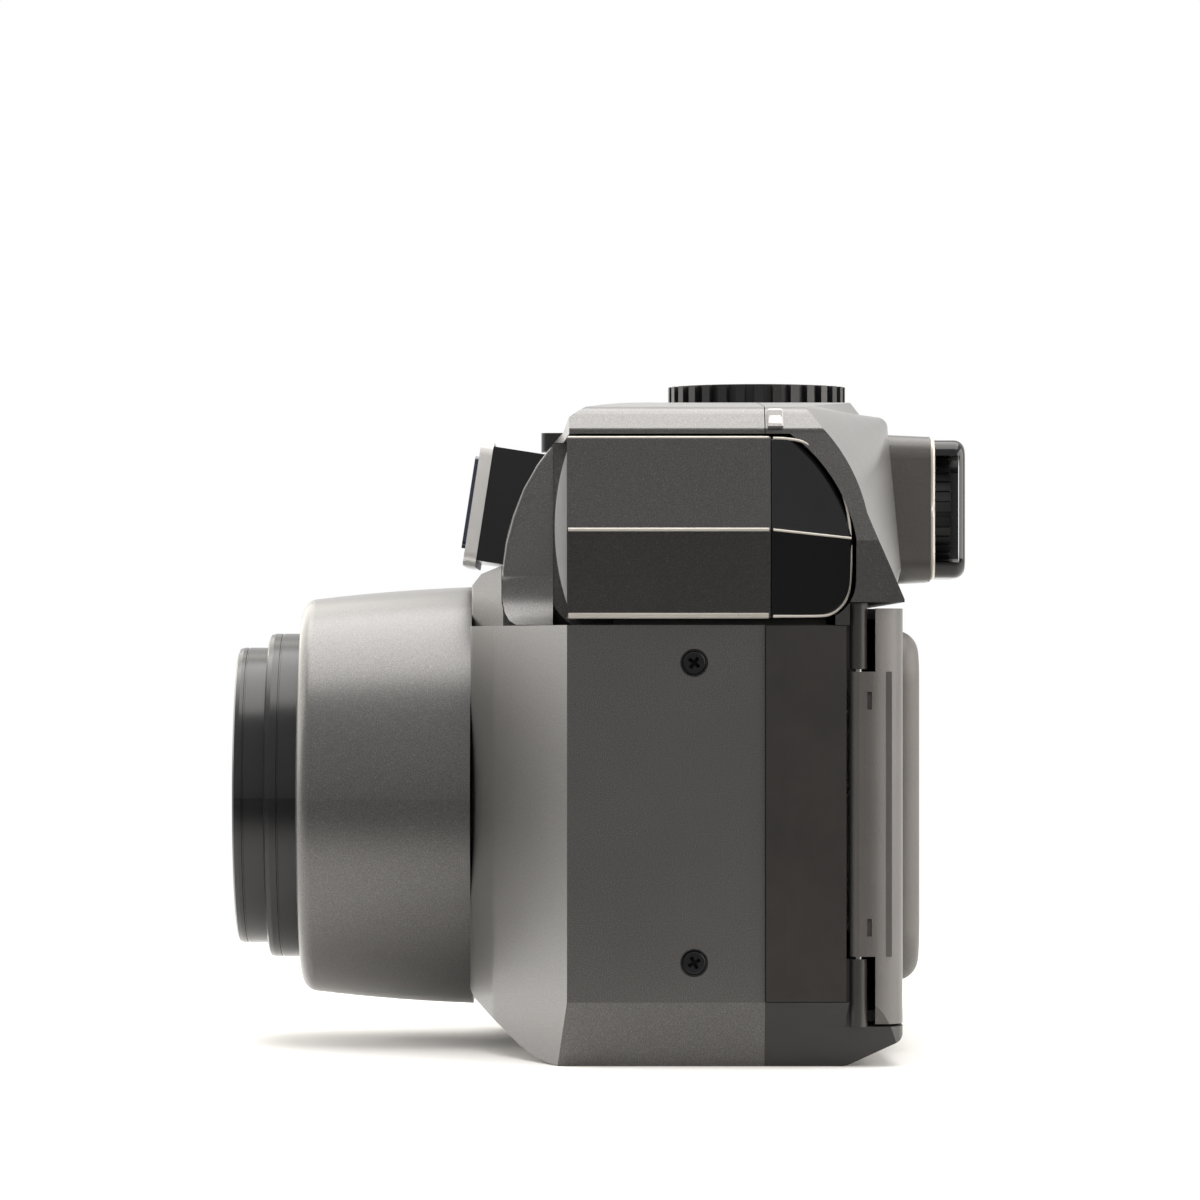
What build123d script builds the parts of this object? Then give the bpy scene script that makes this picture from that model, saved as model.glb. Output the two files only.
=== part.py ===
from build123d import *

import os
from math import asin, cos, pi, sin

# Compact 35 mm film camera with a telescoping zoom lens, a flash that slides out of its side, and a
# hinged film door. X runs to the hinge side, Y to the back and Z up, all in millimetres. The origin is
# the mouth of the tripod socket.

# Body envelope
hinge_side_x = 60.0  # outer side face next to the film door's hinge
grip_side_x = -67.0  # outer side face of the grip
crease_y = -15.75  # front edge of the side face, where the front starts to slant
mount_y = -27.4  # flat front around the lens
valley_y = -17.0  # front between the lens and the grip
grip_y = -26.0  # front of the grip
seam_y = 6.75  # joint between the front cover and the rear frame
back_y = 22.6  # back face of the film door
roof_over_flash = 5.3  # from the flash's top to the roof's flat crown
roof_crown = 1.8  # from the crown down to the roof's edge over the flash
roof_lip = 0.9  # from the flash's top to the foot of the roof's slanted edge
roof_slant = 2.8  # how far that slanted edge leans in
roof_ledge = 1.9  # how far the roof steps down behind the dial
top_brow = 1.1  # how far the top stands out over the film door
heel_rise, heel_in = 3.1, 6.6  # slope under the base's back end
top_drop = 2.2  # from the film chambers' roofs down to the top cover's lower edge
bevel_z = 7.4  # top of the bevel round the base
bevel_in = 2.8  # how far the bevel leans in
wall = 1.6  # moulded covers
fit_gap = 0.1  # between fixed pieces that mate
play = 0.3  # between pieces that move past each other

# Lens
lens_x = 5.0
lens_z = 29.8
shroud_base_r = 25.4
shroud_mid_r = 24.8
shroud_front_r = 23.7
shroud_front_y = -48.2
shroud_nose_r = 1.9
inner_tube_r = 18.0
inner_tube_front_y = -56.0
tube_wall = 1.4
tube_play = 0.3
tube_step = 3.8  # how far each tube stands out of the one round it
tube_length = 40.0
mask_half_w = 8.5  # picture mask in front of the glass
mask_half_h = 6.2
mask_corner_r = 4.0
barrier_t = 0.5
glass_r = 9.6
cell_depth = 9.0

# Self-timer lamp
lamp_r = 2.6
lamp_x, lamp_z = -31.0, 41.8

# Film path
film_plane_y = 17.0
gate_w = 36.4
gate_h = 24.4
gate_wall = 4.0
rail_w = 1.0
counter_r = 2.6
counter_tooth = 0.8
counter_pin_r = 0.6
cassette_x = 44.1
cassette_r = 13.0
chamber_h = 43.6
chamber_roof_t = 0.9
spool_x = -30.6
spool_chamber_r = 10.8
spool_r = 6.5
film_motor_gap = 13.6  # from the winding motor's top to the chamber's roof

# Film door
door_front_y = 16.4
door_low_z = 4.9
door_rise = 1.9  # how far the door stands over the top cover's lower edge
door_gap = 0.7  # between the door's upper edge and the top cover
door_free_x = -52.0
hinge_r = 1.0
hinge_set_back = 1.0  # from the door's front edge to the hinge's axis
hinge_pin_r = 0.5
panel_sunk = 0.6
panel_back_y = 16.0
pin_play = 0.05
low_knuckle_h = 7.7
high_knuckle_h = 7.2
hinge_relief_r = 1.45  # room for the door's corner as it swings
door_notch = 1.9  # from the hinge's axis to the door's edge beside the frame's knuckles
pad_x0, pad_x1 = -34.0, 34.0
pad_low_edge, pad_high_edge = 3.4, 2.4  # from the door's edges to the pad's
pad_t = 3.1
slot_rises = (-14.9, 10.9)  # from the lens's axis to the two slots in the door's side

# Flash
flash_x0 = 28.2
flash_edge_x = 60.9  # upper and lower edges of the flash's side
flash_ridge_x = 62.9  # ridge between them
flash_ridge_rise = 10.0  # from the flash's lower face up to the ridge
flash_rise = 0.8  # from the top cover's lower edge up to the flash
flash_h = 20.6
flash_back_y = 16.75
flash_seam_y = 7.4
flash_wall = 1.5
flash_edge_r = 0.4
flash_tuck = 1.8  # how far the back end of the flash comes in
flash_ridge_drop = 1.0
flash_room_y = -2.0  # back of the room behind the flash window
flash_gap = 0.35
flash_window_bulge = 1.4
flash_window_t = 1.2
guide_rod_r = 0.9
guide_rod_x0, guide_rod_x1 = 26.4, 46.0
guide_rod_ys = (2.5, 11.5)
guide_rod_rise = 1.2

# Finder
finder_x = 5.0
finder_half_w = 18.0
finder_rise = 8.0  # from the top cover's lower edge up to the finder
finder_drop = 5.1  # from the roof down to the finder
finder_front_y = -27.4
pedestal_gap = 0.8  # from the pedestal's top to the finder
finder_lean = 8.8  # degrees from upright
pedestal_half_w = 22.7  # raised middle of the front cover under the finder
pedestal_taper = 9.7
pedestal_depth = 3.9
cheek_curl_h, cheek_curl_in = 4.0, 1.5  # rounded underside beside the flash
eyepiece_x = 12.0
eyepiece_drop = 12.6  # from the roof down to the eyepiece's axis
eyepiece_half_w = 8.6
eyepiece_half_h = 8.7
hood_end_y = 27.6
rim_end_y = 31.8
dioptre_r = 7.3
dioptre_teeth = 36

# Top controls
dial_x, dial_y = -6.0, 7.4
dial_r = 11.0
dial_teeth = 30
dial_h = 2.9
dial_shaft_r = 2.0
release_x, release_y = -54.0, -8.5
release_r = 6.0
lever_r = 9.0
boss_drop = 3.6  # from the roof down to the release's boss
button_r = 2.4
button_xs = (-37.0, -30.0, -23.0)
button_y = -3.6
lcd_x0, lcd_x1, lcd_y0, lcd_y1 = -39.0, -20.0, 8.2, 16.2
lcd_depth = 0.8

# Battery compartment
cell_r = 8.5
cell_h = 34.5
cell_x = -53.8
cell_ys = (-10.4, 7.0)
cell_z0 = 3.2
hatch_x0, hatch_axis_x = -62.6, -44.4
hatch_y0, hatch_y1 = -19.4, 14.0
hatch_hinge_y0 = -15.6
hatch_stub_r = 0.55
hatch_stub_l = 1.2
hatch_barrel_r = 1.0
hatch_boss_z = 2.5

# Base and fasteners
socket_r = 2.55  # minor radius of a 1/4 inch tripod thread
socket_depth = 6.0
bush_r = 4.6
plate_x0, plate_x1, plate_y0, plate_y1 = -38.0, 48.0, -11.0, 15.0
screw_head_r = 1.38
screw_head_h = 1.0
screw_shaft_r = 0.8
screw_length = 5.0
screw_seat_r = 1.6
screw_sunk = 0.15
side_screw_y = -1.3
low_screw_rise = 4.5  # from the bevel up to the lower side screw
high_screw_drop = 4.3  # from the top cover's lower edge down to the upper side screw

band_swell = 2.0  # how far the band behind the flash may swell past the side face

BIG = 200.0  # longer than anything here, for cutting


# Helpers
def block(x0, x1, y0, y1, z0, z1):
    """Box between two corners."""
    return Pos((x0 + x1) / 2, (y0 + y1) / 2, (z0 + z1) / 2) * Box(x1 - x0, y1 - y0, z1 - z0)


def post(x, y, z0, z1, r):
    """Cylinder along Z."""
    return Pos(x, y, (z0 + z1) / 2) * Cylinder(r, z1 - z0)


def rod_x(y, z, x0, x1, r):
    """Cylinder along X."""
    return Pos((x0 + x1) / 2, y, z) * Rot(0, 90, 0) * Cylinder(r, x1 - x0)


def rod_y(x, z, y0, y1, r):
    """Cylinder along Y."""
    return Pos(x, (y0 + y1) / 2, z) * Rot(90, 0, 0) * Cylinder(r, y1 - y0)


def rounded_outline(corners):
    """Face from (u, v, radius) corners. A corner with no radius stays sharp."""
    face = make_face(Polyline(*[(u, v) for u, v, r in corners], close=True))
    for u, v, r in corners:
        if r > 0:
            face = fillet(face.vertices().sort_by_distance((u, v, 0))[0], r)
    return face


def grown(face, amount):
    """Outline moved out by amount, or in where it is negative."""
    return face if amount == 0 else offset(face, amount=amount, kind=Kind.INTERSECTION)


def along_x(face, x0, x1):
    """Solid from a (Y, Z) outline."""
    return Pos(x0, 0, 0) * extrude(Plane.YZ * face, amount=x1 - x0)


def along_y(face, y0, y1):
    """Solid from an (X, Z) outline."""
    return Pos(0, y1, 0) * extrude(Plane.XZ * face, amount=y1 - y0)


def along_z(face, z0, z1):
    """Solid from an (X, Y) outline."""
    return Pos(0, 0, z0) * extrude(face, amount=z1 - z0)


def turned(face, x=lens_x, z=lens_z):
    """Solid of revolution about the line along Y through (x, z), from a (radius, y) outline."""
    return Pos(x, 0, z) * revolve(face, Axis.Y)


def ring_y(r_out, r_in, y0, y1, x=lens_x, z=lens_z):
    """Plain ring about a line along Y."""
    return rod_y(x, z, y0, y1, r_out) - rod_y(x, z, y0 - 1, y1 + 1, r_in)


def rounded_box_y(x, z, half_w, half_h, y0, y1, r):
    """Bar along Y with rounded corners."""
    return along_y(Pos(x, z) * RectangleRounded(2 * half_w, 2 * half_h, r), y0, y1)


# Heights worked out from the stack of film chamber, flash and roof
chamber_z0 = lens_z - chamber_h / 2
chamber_roof_z = chamber_z0 + chamber_h + chamber_roof_t
split_z = chamber_roof_z - top_drop
flash_z0 = split_z + flash_rise
flash_z1 = flash_z0 + flash_h
flash_ridge_z = flash_z0 + flash_ridge_rise
flash_floor_z = chamber_roof_z + play
roof_z = flash_z1 + roof_over_flash
roof_edge_z = roof_z - roof_crown
boss_z = roof_z - boss_drop
finder_z0 = split_z + finder_rise
finder_z1 = roof_z - finder_drop
eyepiece_z = roof_z - eyepiece_drop
guide_rod_z = flash_floor_z + flash_wall + guide_rod_rise + guide_rod_r
door_high_z = split_z + door_rise
frame_high_z = door_high_z + door_gap - fit_gap
hinge_low_z = door_low_z + low_knuckle_h
hinge_high_z = door_high_z - high_knuckle_h
pad_z0, pad_z1 = door_low_z + pad_low_edge, door_high_z - pad_high_edge
side_screw_zs = (bevel_z + low_screw_rise, split_z - high_screw_drop)
top_front_y = mount_y + 3.7
cheek_front = (flash_x0 - 4.5, mount_y + 3.2)
cheek_back = (flash_x0 + 0.6, crease_y - 0.6)


# Body outlines
def lower_plan():
    """Plan of the body below the flash."""
    return rounded_outline([
        (hinge_side_x, back_y, 4.4),
        (hinge_side_x, crease_y, 0),
        (lens_x + 33.0, mount_y + 2.9, 16.0),
        (lens_x + 23.0, mount_y, 9.0),
        (lens_x - 23.0, mount_y, 7.0),
        (lens_x - 30.0, valley_y, 6.0),
        (grip_side_x + 30.0, valley_y, 7.0),
        (grip_side_x + 22.0, grip_y, 7.0),
        (grip_side_x + 7.0, grip_y, 8.0),
        (grip_side_x, valley_y, 7.0),
        (grip_side_x, back_y, 7.0),
    ])


def lower_side():
    """Side view of the body below the flash: the floor and its two upturned ends."""
    return rounded_outline([
        (crease_y - 3.5, 0, 9.0),
        (mount_y - 0.3, 7.0, 4.0),
        (mount_y - 1.0, roof_z, 0),
        (back_y, roof_z, 0),
        (back_y, heel_rise, 1.2),
        (back_y - heel_in, 0, 2.0),
    ])


def lower_front():
    """Front view of the body below the flash, with its bevel at the base."""
    return rounded_outline([
        (hinge_side_x - bevel_in, 0, 0),
        (hinge_side_x, bevel_z, 0),
        (hinge_side_x, roof_z, 0),
        (grip_side_x, roof_z, 0),
        (grip_side_x, bevel_z, 4.0),
        (grip_side_x + bevel_in, 0, 1.5),
    ])


def lower_body(inset=0.0):
    """Outer shape below the flash, or the space inside it when inset."""
    plan = along_z(grown(lower_plan(), -inset), 0, roof_z)
    side = along_x(grown(lower_side(), -inset), -BIG, BIG)
    front = along_y(grown(lower_front(), -inset), -BIG, BIG)
    return plan & side & front


def upper_plan():
    """Plan of the body at the height of the flash and the finder."""
    return rounded_outline([
        (hinge_side_x + band_swell, back_y + top_brow, 1.5),
        (hinge_side_x + band_swell, crease_y + 0.3, 1.0),
        (*cheek_back, 2.0),
        (*cheek_front, 4.0),
        (lens_x - 18.0, mount_y + 3.2, 5.0),
        (lens_x - 26.0, valley_y, 6.0),
        (grip_side_x + 30.0, valley_y, 7.0),
        (grip_side_x + 22.0, grip_y + 1.5, 7.0),
        (grip_side_x + 7.0, grip_y + 1.5, 8.0),
        (grip_side_x, valley_y + 1.0, 7.0),
        (grip_side_x, back_y + top_brow, 8.0),
    ])


def upper_side(back):
    """Side view of the top: the front leans back in an arc, and back lists the points behind the roof."""
    roof_end, foot, ledge_end, bend, bend_end, brow = back
    lean_z = split_z + 6.5
    brow_start = (crease_y, roof_z - 3.2)
    roof_start = (crease_y + 9.0, roof_z)
    lean = ThreePointArc((top_front_y, lean_z), (top_front_y + 2.4, lean_z + 9.4), brow_start)
    front_brow = ThreePointArc(brow_start, (crease_y + 4.0, roof_z - 0.9), roof_start)
    roof = Polyline(roof_start, roof_end, foot, ledge_end)
    shoulder = ThreePointArc(ledge_end, bend, bend_end)
    rest = Polyline(
        bend_end, brow, (back_y, split_z + 2.9), (back_y, 0), (top_front_y, 0), (top_front_y, lean_z),
    )
    return make_face([lean, front_brow, roof, shoulder, rest])


def inner_side():
    """Side view over the lens, where the roof runs back to a ledge over the eyepiece."""
    ledge_z = roof_z - roof_ledge
    return upper_side([
        (back_y - 5.1, roof_z),
        (back_y - 3.7, ledge_z + 0.1),
        (back_y - 1.9, ledge_z),
        (back_y - 0.85, ledge_z - 0.45),
        (back_y - 0.5, ledge_z - 1.5),
        (back_y + top_brow, split_z + 6.7),
    ])


def outer_side():
    """Side view at the flash, where the roof's back corner is swept away."""
    return upper_side([
        (back_y - 16.0, roof_z),
        (back_y - 14.3, roof_z - 0.9),
        (back_y - 12.7, roof_z - 1.9),
        (back_y - 7.4, roof_z - 7.4),
        (back_y - 4.4, roof_z - 14.3),
        (back_y - 1.75, split_z + 6.7),
    ])


def upper_front():
    """Front view of the top: crowned over the flash, and a step down to the release on the grip."""
    return rounded_outline([
        (hinge_side_x + 0.2, 0, 0),
        (hinge_side_x + 0.2, split_z + 1.0, 0),
        (hinge_side_x + 1.2, flash_ridge_z - 1.2, 0),
        (hinge_side_x + 0.2, flash_z1 + 0.4, 0),
        (hinge_side_x + 0.2, flash_z1 + roof_lip, 0.4),
        (hinge_side_x + 0.2 - roof_slant, roof_edge_z, 3.5),
        (flash_x0 - 4.0, roof_z, 25.0),
        (lcd_x0 - 2.0, roof_z, 3.0),
        (lcd_x0 - 5.0, roof_z - 3.8, 3.0),
        (grip_side_x + 8.0, roof_z - 5.0, 9.0),
        (grip_side_x, roof_z - 13.0, 8.0),
        (grip_side_x, 0, 0),
    ])


def upper_body(inset=0.0):
    """Outer shape of the top, or the space inside it when inset."""
    plan = along_z(grown(upper_plan(), -inset), 0, BIG)
    front = along_y(grown(upper_front(), -inset), -BIG, BIG)
    inner = inner_side()
    if inset == 0:
        swept = loft(
            [Plane.YZ.offset(flash_x0) * inner, Plane.YZ.offset(hinge_side_x + band_swell) * outer_side()],
            ruled=True,
        )
        side = along_x(inner, -BIG, flash_x0) + swept
    else:
        side = along_x(grown(inner, -inset), -BIG, BIG)
    return plan & side & front


# Sizes worked out from the ones above
outer_tube_r = inner_tube_r + tube_play + tube_wall
outer_tube_front_y = inner_tube_front_y + tube_step
barrel_in_r = outer_tube_r + tube_play
barrel_r = barrel_in_r + 1.5
frame_bore_r = barrel_r + fit_gap
lens_block_r = inner_tube_r - tube_wall - pin_play
cell_front_y = inner_tube_front_y + 2.1 + barrier_t + 0.2
lens_block_back_y = inner_tube_front_y + tube_length - 0.5
hinge_x = hinge_side_x - hinge_r - pin_play
hinge_y = door_front_y + hinge_set_back
frame_back_y = film_plane_y - 0.4
door_in_y = back_y - wall
floor_z = wall + fit_gap
gate_x0 = lens_x - frame_bore_r - 1.6
gate_x1 = cassette_x - cassette_r - 1.2
counter_x = gate_x0 + counter_r + counter_tooth + 0.2
counter_y = film_plane_y - 2.0
counter_z = lens_z - 15.5
spool_x0 = spool_x - spool_chamber_r - 0.9
cell_box_x1 = spool_x0 - fit_gap
arm_x = hinge_x - hinge_r - 2.6
arm_y = door_front_y - 2.6
cassette_front_y = film_plane_y - 2 * cassette_r - 1.4
finder_hole_back_y = -14.0


# Fixed covers
def pedestal(inset=0.0):
    """Raised middle of the front cover, sloped up to the finder and rounded under the top cover."""
    half_w = pedestal_half_w
    shoulder_y = mount_y + pedestal_depth
    plan = rounded_outline([
        (lens_x + half_w, shoulder_y, 0),
        (lens_x + half_w - pedestal_taper, mount_y, 3.0),
        (lens_x - half_w + pedestal_taper, mount_y, 3.0),
        (lens_x - half_w, shoulder_y, 0),
        (lens_x - half_w, shoulder_y + 4.0, 0),
        (lens_x + half_w, shoulder_y + 4.0, 0),
    ])
    top_z = finder_z0 - pedestal_gap
    low_z = split_z - 2.0
    curl_end = (top_front_y + 3.2, split_z)
    side = make_face([
        Polyline(
            (curl_end[0], low_z), (mount_y - 1.0, low_z), (mount_y - 1.0, top_z - 3.2), (mount_y, top_z - 2.3),
            (mount_y + 1.2, top_z - 0.9), (top_front_y, top_z), (top_front_y, split_z + 3.3),
        ),
        ThreePointArc((top_front_y, split_z + 3.3), (top_front_y + 0.95, split_z + 0.95), curl_end),
        Line(curl_end, (curl_end[0], low_z)),
    ])
    return along_z(grown(plan, -inset), low_z, roof_z) & along_x(grown(side, -inset), -BIG, BIG)


def flash_ledge(extra=0.0):
    """Ledge that closes the front cover in front of the flash."""
    return block(
        cheek_front[0] - extra, BIG, -BIG, crease_y + 1.0 + extra, split_z - wall - extra, split_z,
    )


def cheek_curl():
    """Tool that rounds the top cover's lower edge between the finder and the flash."""
    (x0, y0), (x1, y1) = cheek_front, cheek_back
    span = ((x1 - x0) ** 2 + (y1 - y0) ** 2) ** 0.5
    along = ((x1 - x0) / span, (y1 - y0) / span)
    start = (x1 + 4.0 * along[0], y1 + 4.0 * along[1], split_z)
    plane = Plane(origin=start, x_dir=(along[1], -along[0], 0), z_dir=(-along[0], -along[1], 0))
    h, deep = cheek_curl_h, cheek_curl_in
    outline = make_face([
        ThreePointArc((-deep, 0), (-0.26 * deep, 0.466 * h), (0, h)),
        Polyline((0, h), (3.0, h), (3.0, 0), (-deep, 0)),
    ])
    return extrude(plane * outline, amount=span + 8.0)


def front_cover():
    shell = lower_body() - lower_body(wall)
    shell &= block(-BIG, BIG, -BIG, seam_y, 0, split_z)
    shell += pedestal() + (lower_body() & flash_ledge())
    shell -= rod_y(lens_x, lens_z, -BIG, mount_y + 10.0, barrel_r + fit_gap)
    shell -= base_opening(fit_gap) + hatch_opening()
    shell += hatch_boss(hatch_hinge_y0 - hatch_stub_l - wall, hatch_hinge_y0 - play)
    shell -= hatch_stubs(pin_play)
    for z in side_screw_zs:
        shell -= rod_x(side_screw_y, z, hinge_side_x - screw_head_h - screw_sunk, BIG, screw_seat_r)
        shell -= rod_x(side_screw_y, z, 0, BIG, screw_shaft_r + pin_play)
    shell -= rod_y(lamp_x, lamp_z, -BIG, 0, lamp_r + fit_gap)
    return shell


def rear_frame():
    shell = lower_body() - lower_body(wall)
    shell &= block(-BIG, BIG, seam_y, BIG, 0, frame_high_z)
    shell -= block(door_free_x - play, BIG, door_front_y, BIG, door_low_z - play, BIG)
    shell += lower_body() & block(door_free_x, BIG, frame_back_y + fit_gap, BIG, 0, door_low_z - play)
    shell -= side_panel_space()
    shell -= post(hinge_x, hinge_y, door_low_z - play, BIG, hinge_relief_r)
    shell -= base_opening(fit_gap) + hatch_opening()
    shell += hatch_boss(hatch_y1 + play, hatch_y1 + hatch_stub_l + wall)
    shell -= hatch_stubs(pin_play)
    shell += hinge_knuckles()
    return shell - hinge_bore(pin_play) - flash_recess() - latch_slot()


def side_panel_space():
    return block(
        hinge_side_x - panel_sunk, BIG, seam_y, BIG, bevel_z, split_z,
    )


def side_panel():
    """Gloss panel between the front cover and the film door, with a slight bend down its front third."""
    plan = make_face(Polyline(
        (hinge_side_x - panel_sunk, seam_y + fit_gap),
        (hinge_side_x + 0.3, seam_y + fit_gap),
        (hinge_side_x + 0.3, seam_y + 2.4),
        (hinge_side_x, panel_back_y),
        (hinge_side_x - panel_sunk, panel_back_y),
        close=True,
    ))
    panel = along_z(plan, bevel_z + fit_gap, split_z - fit_gap)
    return panel - post(hinge_x, hinge_y, 0, BIG, hinge_relief_r)


def hinge_knuckles():
    """The frame's two knuckles, above and below the door's own, with their arms."""
    made = Part()
    for z0, z1 in ((door_low_z - play, hinge_low_z - play), (hinge_high_z + play, frame_high_z)):
        made += post(hinge_x, hinge_y, z0, z1, hinge_r)
        made += block(arm_x, hinge_x, arm_y, hinge_y + 0.6, z0, z1)
        made += block(arm_x, hinge_side_x - wall + 0.2, arm_y, door_front_y - 0.5, z0, z1)
    return made


def hinge_bore(extra):
    return post(hinge_x, hinge_y, door_low_z - play, frame_high_z, hinge_pin_r + extra)


def hinge_pin():
    return post(hinge_x, hinge_y, door_low_z, door_high_z - play, hinge_pin_r)


def base_opening(extra):
    """Opening in the floor that the base plate lies in."""
    return block(
        plate_x0 - extra, plate_x1 + extra, plate_y0 - extra, plate_y1 + extra, -1, wall + 0.01,
    )


def base_screw_places():
    inset = 4.0
    xs = (plate_x0 + inset, plate_x1 - inset)
    ys = (plate_y0 + inset, plate_y1 - inset)
    return [(x, y) for x in xs for y in ys]


def base_plate():
    plate = block(plate_x0, plate_x1, plate_y0, plate_y1, 0, wall)
    plate = fillet(plate.edges().filter_by(Axis.Z), 2.0)
    plate -= post(0, 0, -1, BIG, bush_r + fit_gap)
    for x, y in base_screw_places():
        plate -= post(x, y, -1, screw_head_h + screw_sunk, screw_seat_r)
        plate -= post(x, y, -1, BIG, screw_shaft_r + pin_play)
    return plate


def tripod_bush():
    bush = post(0, 0, 0, socket_depth + 1.0, bush_r)
    return bush - post(0, 0, -1, socket_depth, socket_r)


def screw():
    """Cross-head screw along Z with its head's face at Z 0 and its shaft below."""
    body = post(0, 0, -screw_head_h, 0, screw_head_r)
    body += post(0, 0, -screw_length, -screw_head_h, screw_shaft_r)
    cross = Box(1.5, 0.4, 1.0) + Box(0.4, 1.5, 1.0)
    body = fillet(body.edges().filter_by(GeomType.CIRCLE).sort_by(Axis.Z)[-1], 0.25)
    return body - cross


def cover_screws():
    """Two screws in the side plate and four in the base plate."""
    side = [
        Pos(hinge_side_x - screw_sunk, side_screw_y, z) * Rot(0, 90, 0) * Rot(0, 0, turn) * screw()
        for z, turn in zip(side_screw_zs, (28.0, 52.0))
    ]
    base = [Pos(x, y, screw_sunk) * Rot(180, 0, 0) * screw() for x, y in base_screw_places()]
    return side + base


def top_shell():
    """Whole top before it is split into its front and rear covers."""
    shell = upper_body() - (upper_body(wall) & block(-BIG, flash_x0 - flash_gap - wall, -BIG, BIG, 0, BIG))
    shell &= block(-BIG, BIG, -BIG, BIG, split_z + fit_gap, BIG)
    shell += Pos(dial_x, dial_y, roof_z - roof_ledge / 2) * Cone(dial_r + 0.8, dial_r, roof_ledge)
    shell -= flash_recess() + pedestal(-fit_gap) + cheek_curl()
    shell -= rod_y(lens_x, lens_z, -BIG, BIG, barrel_r + fit_gap)
    shell += post(release_x, release_y, roof_z - 8.0, boss_z, lever_r + 0.4)
    shell -= post(release_x, release_y, boss_z, BIG, lever_r + 0.4 + play)
    shell -= post(release_x, release_y, 0, boss_z - 2.0, lever_r - 1.2)
    shell -= post(release_x, release_y, 0, BIG, release_r + play)
    shell -= post(dial_x, dial_y, 0, BIG, dial_shaft_r + play)
    for x in button_xs:
        shell -= post(x, button_y, 0, BIG, button_r + play)
    shell -= block(lcd_x0, lcd_x1, lcd_y0, lcd_y1, roof_z - lcd_depth, BIG)
    shell -= finder_block(fit_gap) + finder_tunnel(fit_gap)
    for y in guide_rod_ys:
        shell -= rod_x(y, guide_rod_z, 0, guide_rod_x1, guide_rod_r + pin_play)
    return shell


def top_cover(shell):
    """Front of the top, with the release, the buttons and half of the dial's seat."""
    return shell & block(-BIG, BIG, -BIG, seam_y - fit_gap / 2, 0, BIG)


def rear_top_cover(shell):
    """Back of the top, with the swept shoulder behind the flash and a sill over the film door."""
    sill_z = door_high_z + door_gap
    rear = shell & block(-BIG, BIG, seam_y + fit_gap / 2, BIG, sill_z, BIG)
    sill = block(
        door_free_x, flash_x0 - flash_gap, frame_back_y + fit_gap, back_y - 1.0, sill_z, sill_z + 1.2,
    )
    rear += (sill & upper_body(1.0)) - finder_tunnel(fit_gap)
    x0, x1 = hinge_side_x + 0.2 - roof_slant, hinge_side_x + 0.5
    z0, z1 = flash_z1 + roof_lip, roof_edge_z - 0.4
    insert = make_face(Polyline(
        (x0 - 0.6, z0), (x1, z0), (x1, z0 + 0.3), (x0 + 1.1, z1), (x0 - 0.6, z1), close=True,
    ))
    return rear + along_y(insert, seam_y + 0.3, seam_y + 2.0) - strap_lug()


def flash_recess():
    """Space that the flash slides in."""
    x0 = flash_x0 - flash_gap
    space = along_x(grown(flash_side(), flash_gap), x0, BIG)
    space += block(x0, BIG, -BIG, 0, split_z, flash_z1 + flash_gap)
    return space + block(x0, BIG, 0, flash_back_y - 2.0, split_z, flash_z0 + flash_gap)


# Lens
def lens_shroud():
    """Fixed outer shroud: a slightly barrelled cone with a rounded nose."""
    lip_r = outer_tube_r + tube_play + 0.1
    flank = ThreePointArc(
        (shroud_base_r, mount_y),
        (shroud_mid_r, (mount_y + shroud_front_y) / 2),
        (shroud_front_r, shroud_front_y),
    )
    rest = Polyline(
        (shroud_front_r, shroud_front_y),
        (lip_r, shroud_front_y),
        (lip_r, shroud_front_y + wall),
        (shroud_front_r - wall, shroud_front_y + wall),
        (barrel_r + fit_gap, shroud_front_y + wall + 2.0),
        (barrel_r + fit_gap, mount_y),
        (shroud_base_r, mount_y),
    )
    face = make_face([flank, rest])
    nose = face.vertices().sort_by_distance((shroud_front_r, shroud_front_y, 0))[0]
    return turned(fillet(nose, shroud_nose_r))


def fixed_barrel():
    return ring_y(barrel_r, barrel_in_r, shroud_front_y + wall + 0.3, film_plane_y - gate_wall - 0.4)


def zoom_tube(r, front_y, rim):
    """One telescoping tube with a fine groove behind its front."""
    back_y_tube = front_y + tube_length
    face = make_face(Polyline(
        (r - tube_wall, front_y + 0.2),
        (r - 0.6, front_y),
        (r - 0.15, front_y + 0.2),
        (r, front_y + 0.7),
        (r, front_y + rim),
        (r - 0.15, front_y + rim + 0.05),
        (r - 0.15, front_y + rim + 0.2),
        (r, front_y + rim + 0.25),
        (r, back_y_tube),
        (r - tube_wall, back_y_tube),
        close=True,
    ))
    return turned(face)


def outer_tube():
    return zoom_tube(outer_tube_r, outer_tube_front_y, 1.5)


def inner_tube():
    return zoom_tube(inner_tube_r, inner_tube_front_y, 1.1)


def lens_bezel():
    """Dished ring at the front of the inner tube, with the picture mask cut through it."""
    out_r = lens_block_r
    face = make_face(Polyline(
        (0, inner_tube_front_y + 2.0),
        (0, inner_tube_front_y + 1.5),
        (10.0, inner_tube_front_y + 1.4),
        (out_r - 1.5, inner_tube_front_y + 0.4),
        (out_r, inner_tube_front_y + 0.4),
        (out_r, inner_tube_front_y + 2.0),
        close=True,
    ))
    return turned(face) - mask_bar(0)


def mask_bar(extra):
    return rounded_box_y(lens_x, lens_z, mask_half_w + extra, mask_half_h + extra, -BIG, 0, mask_corner_r)


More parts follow.
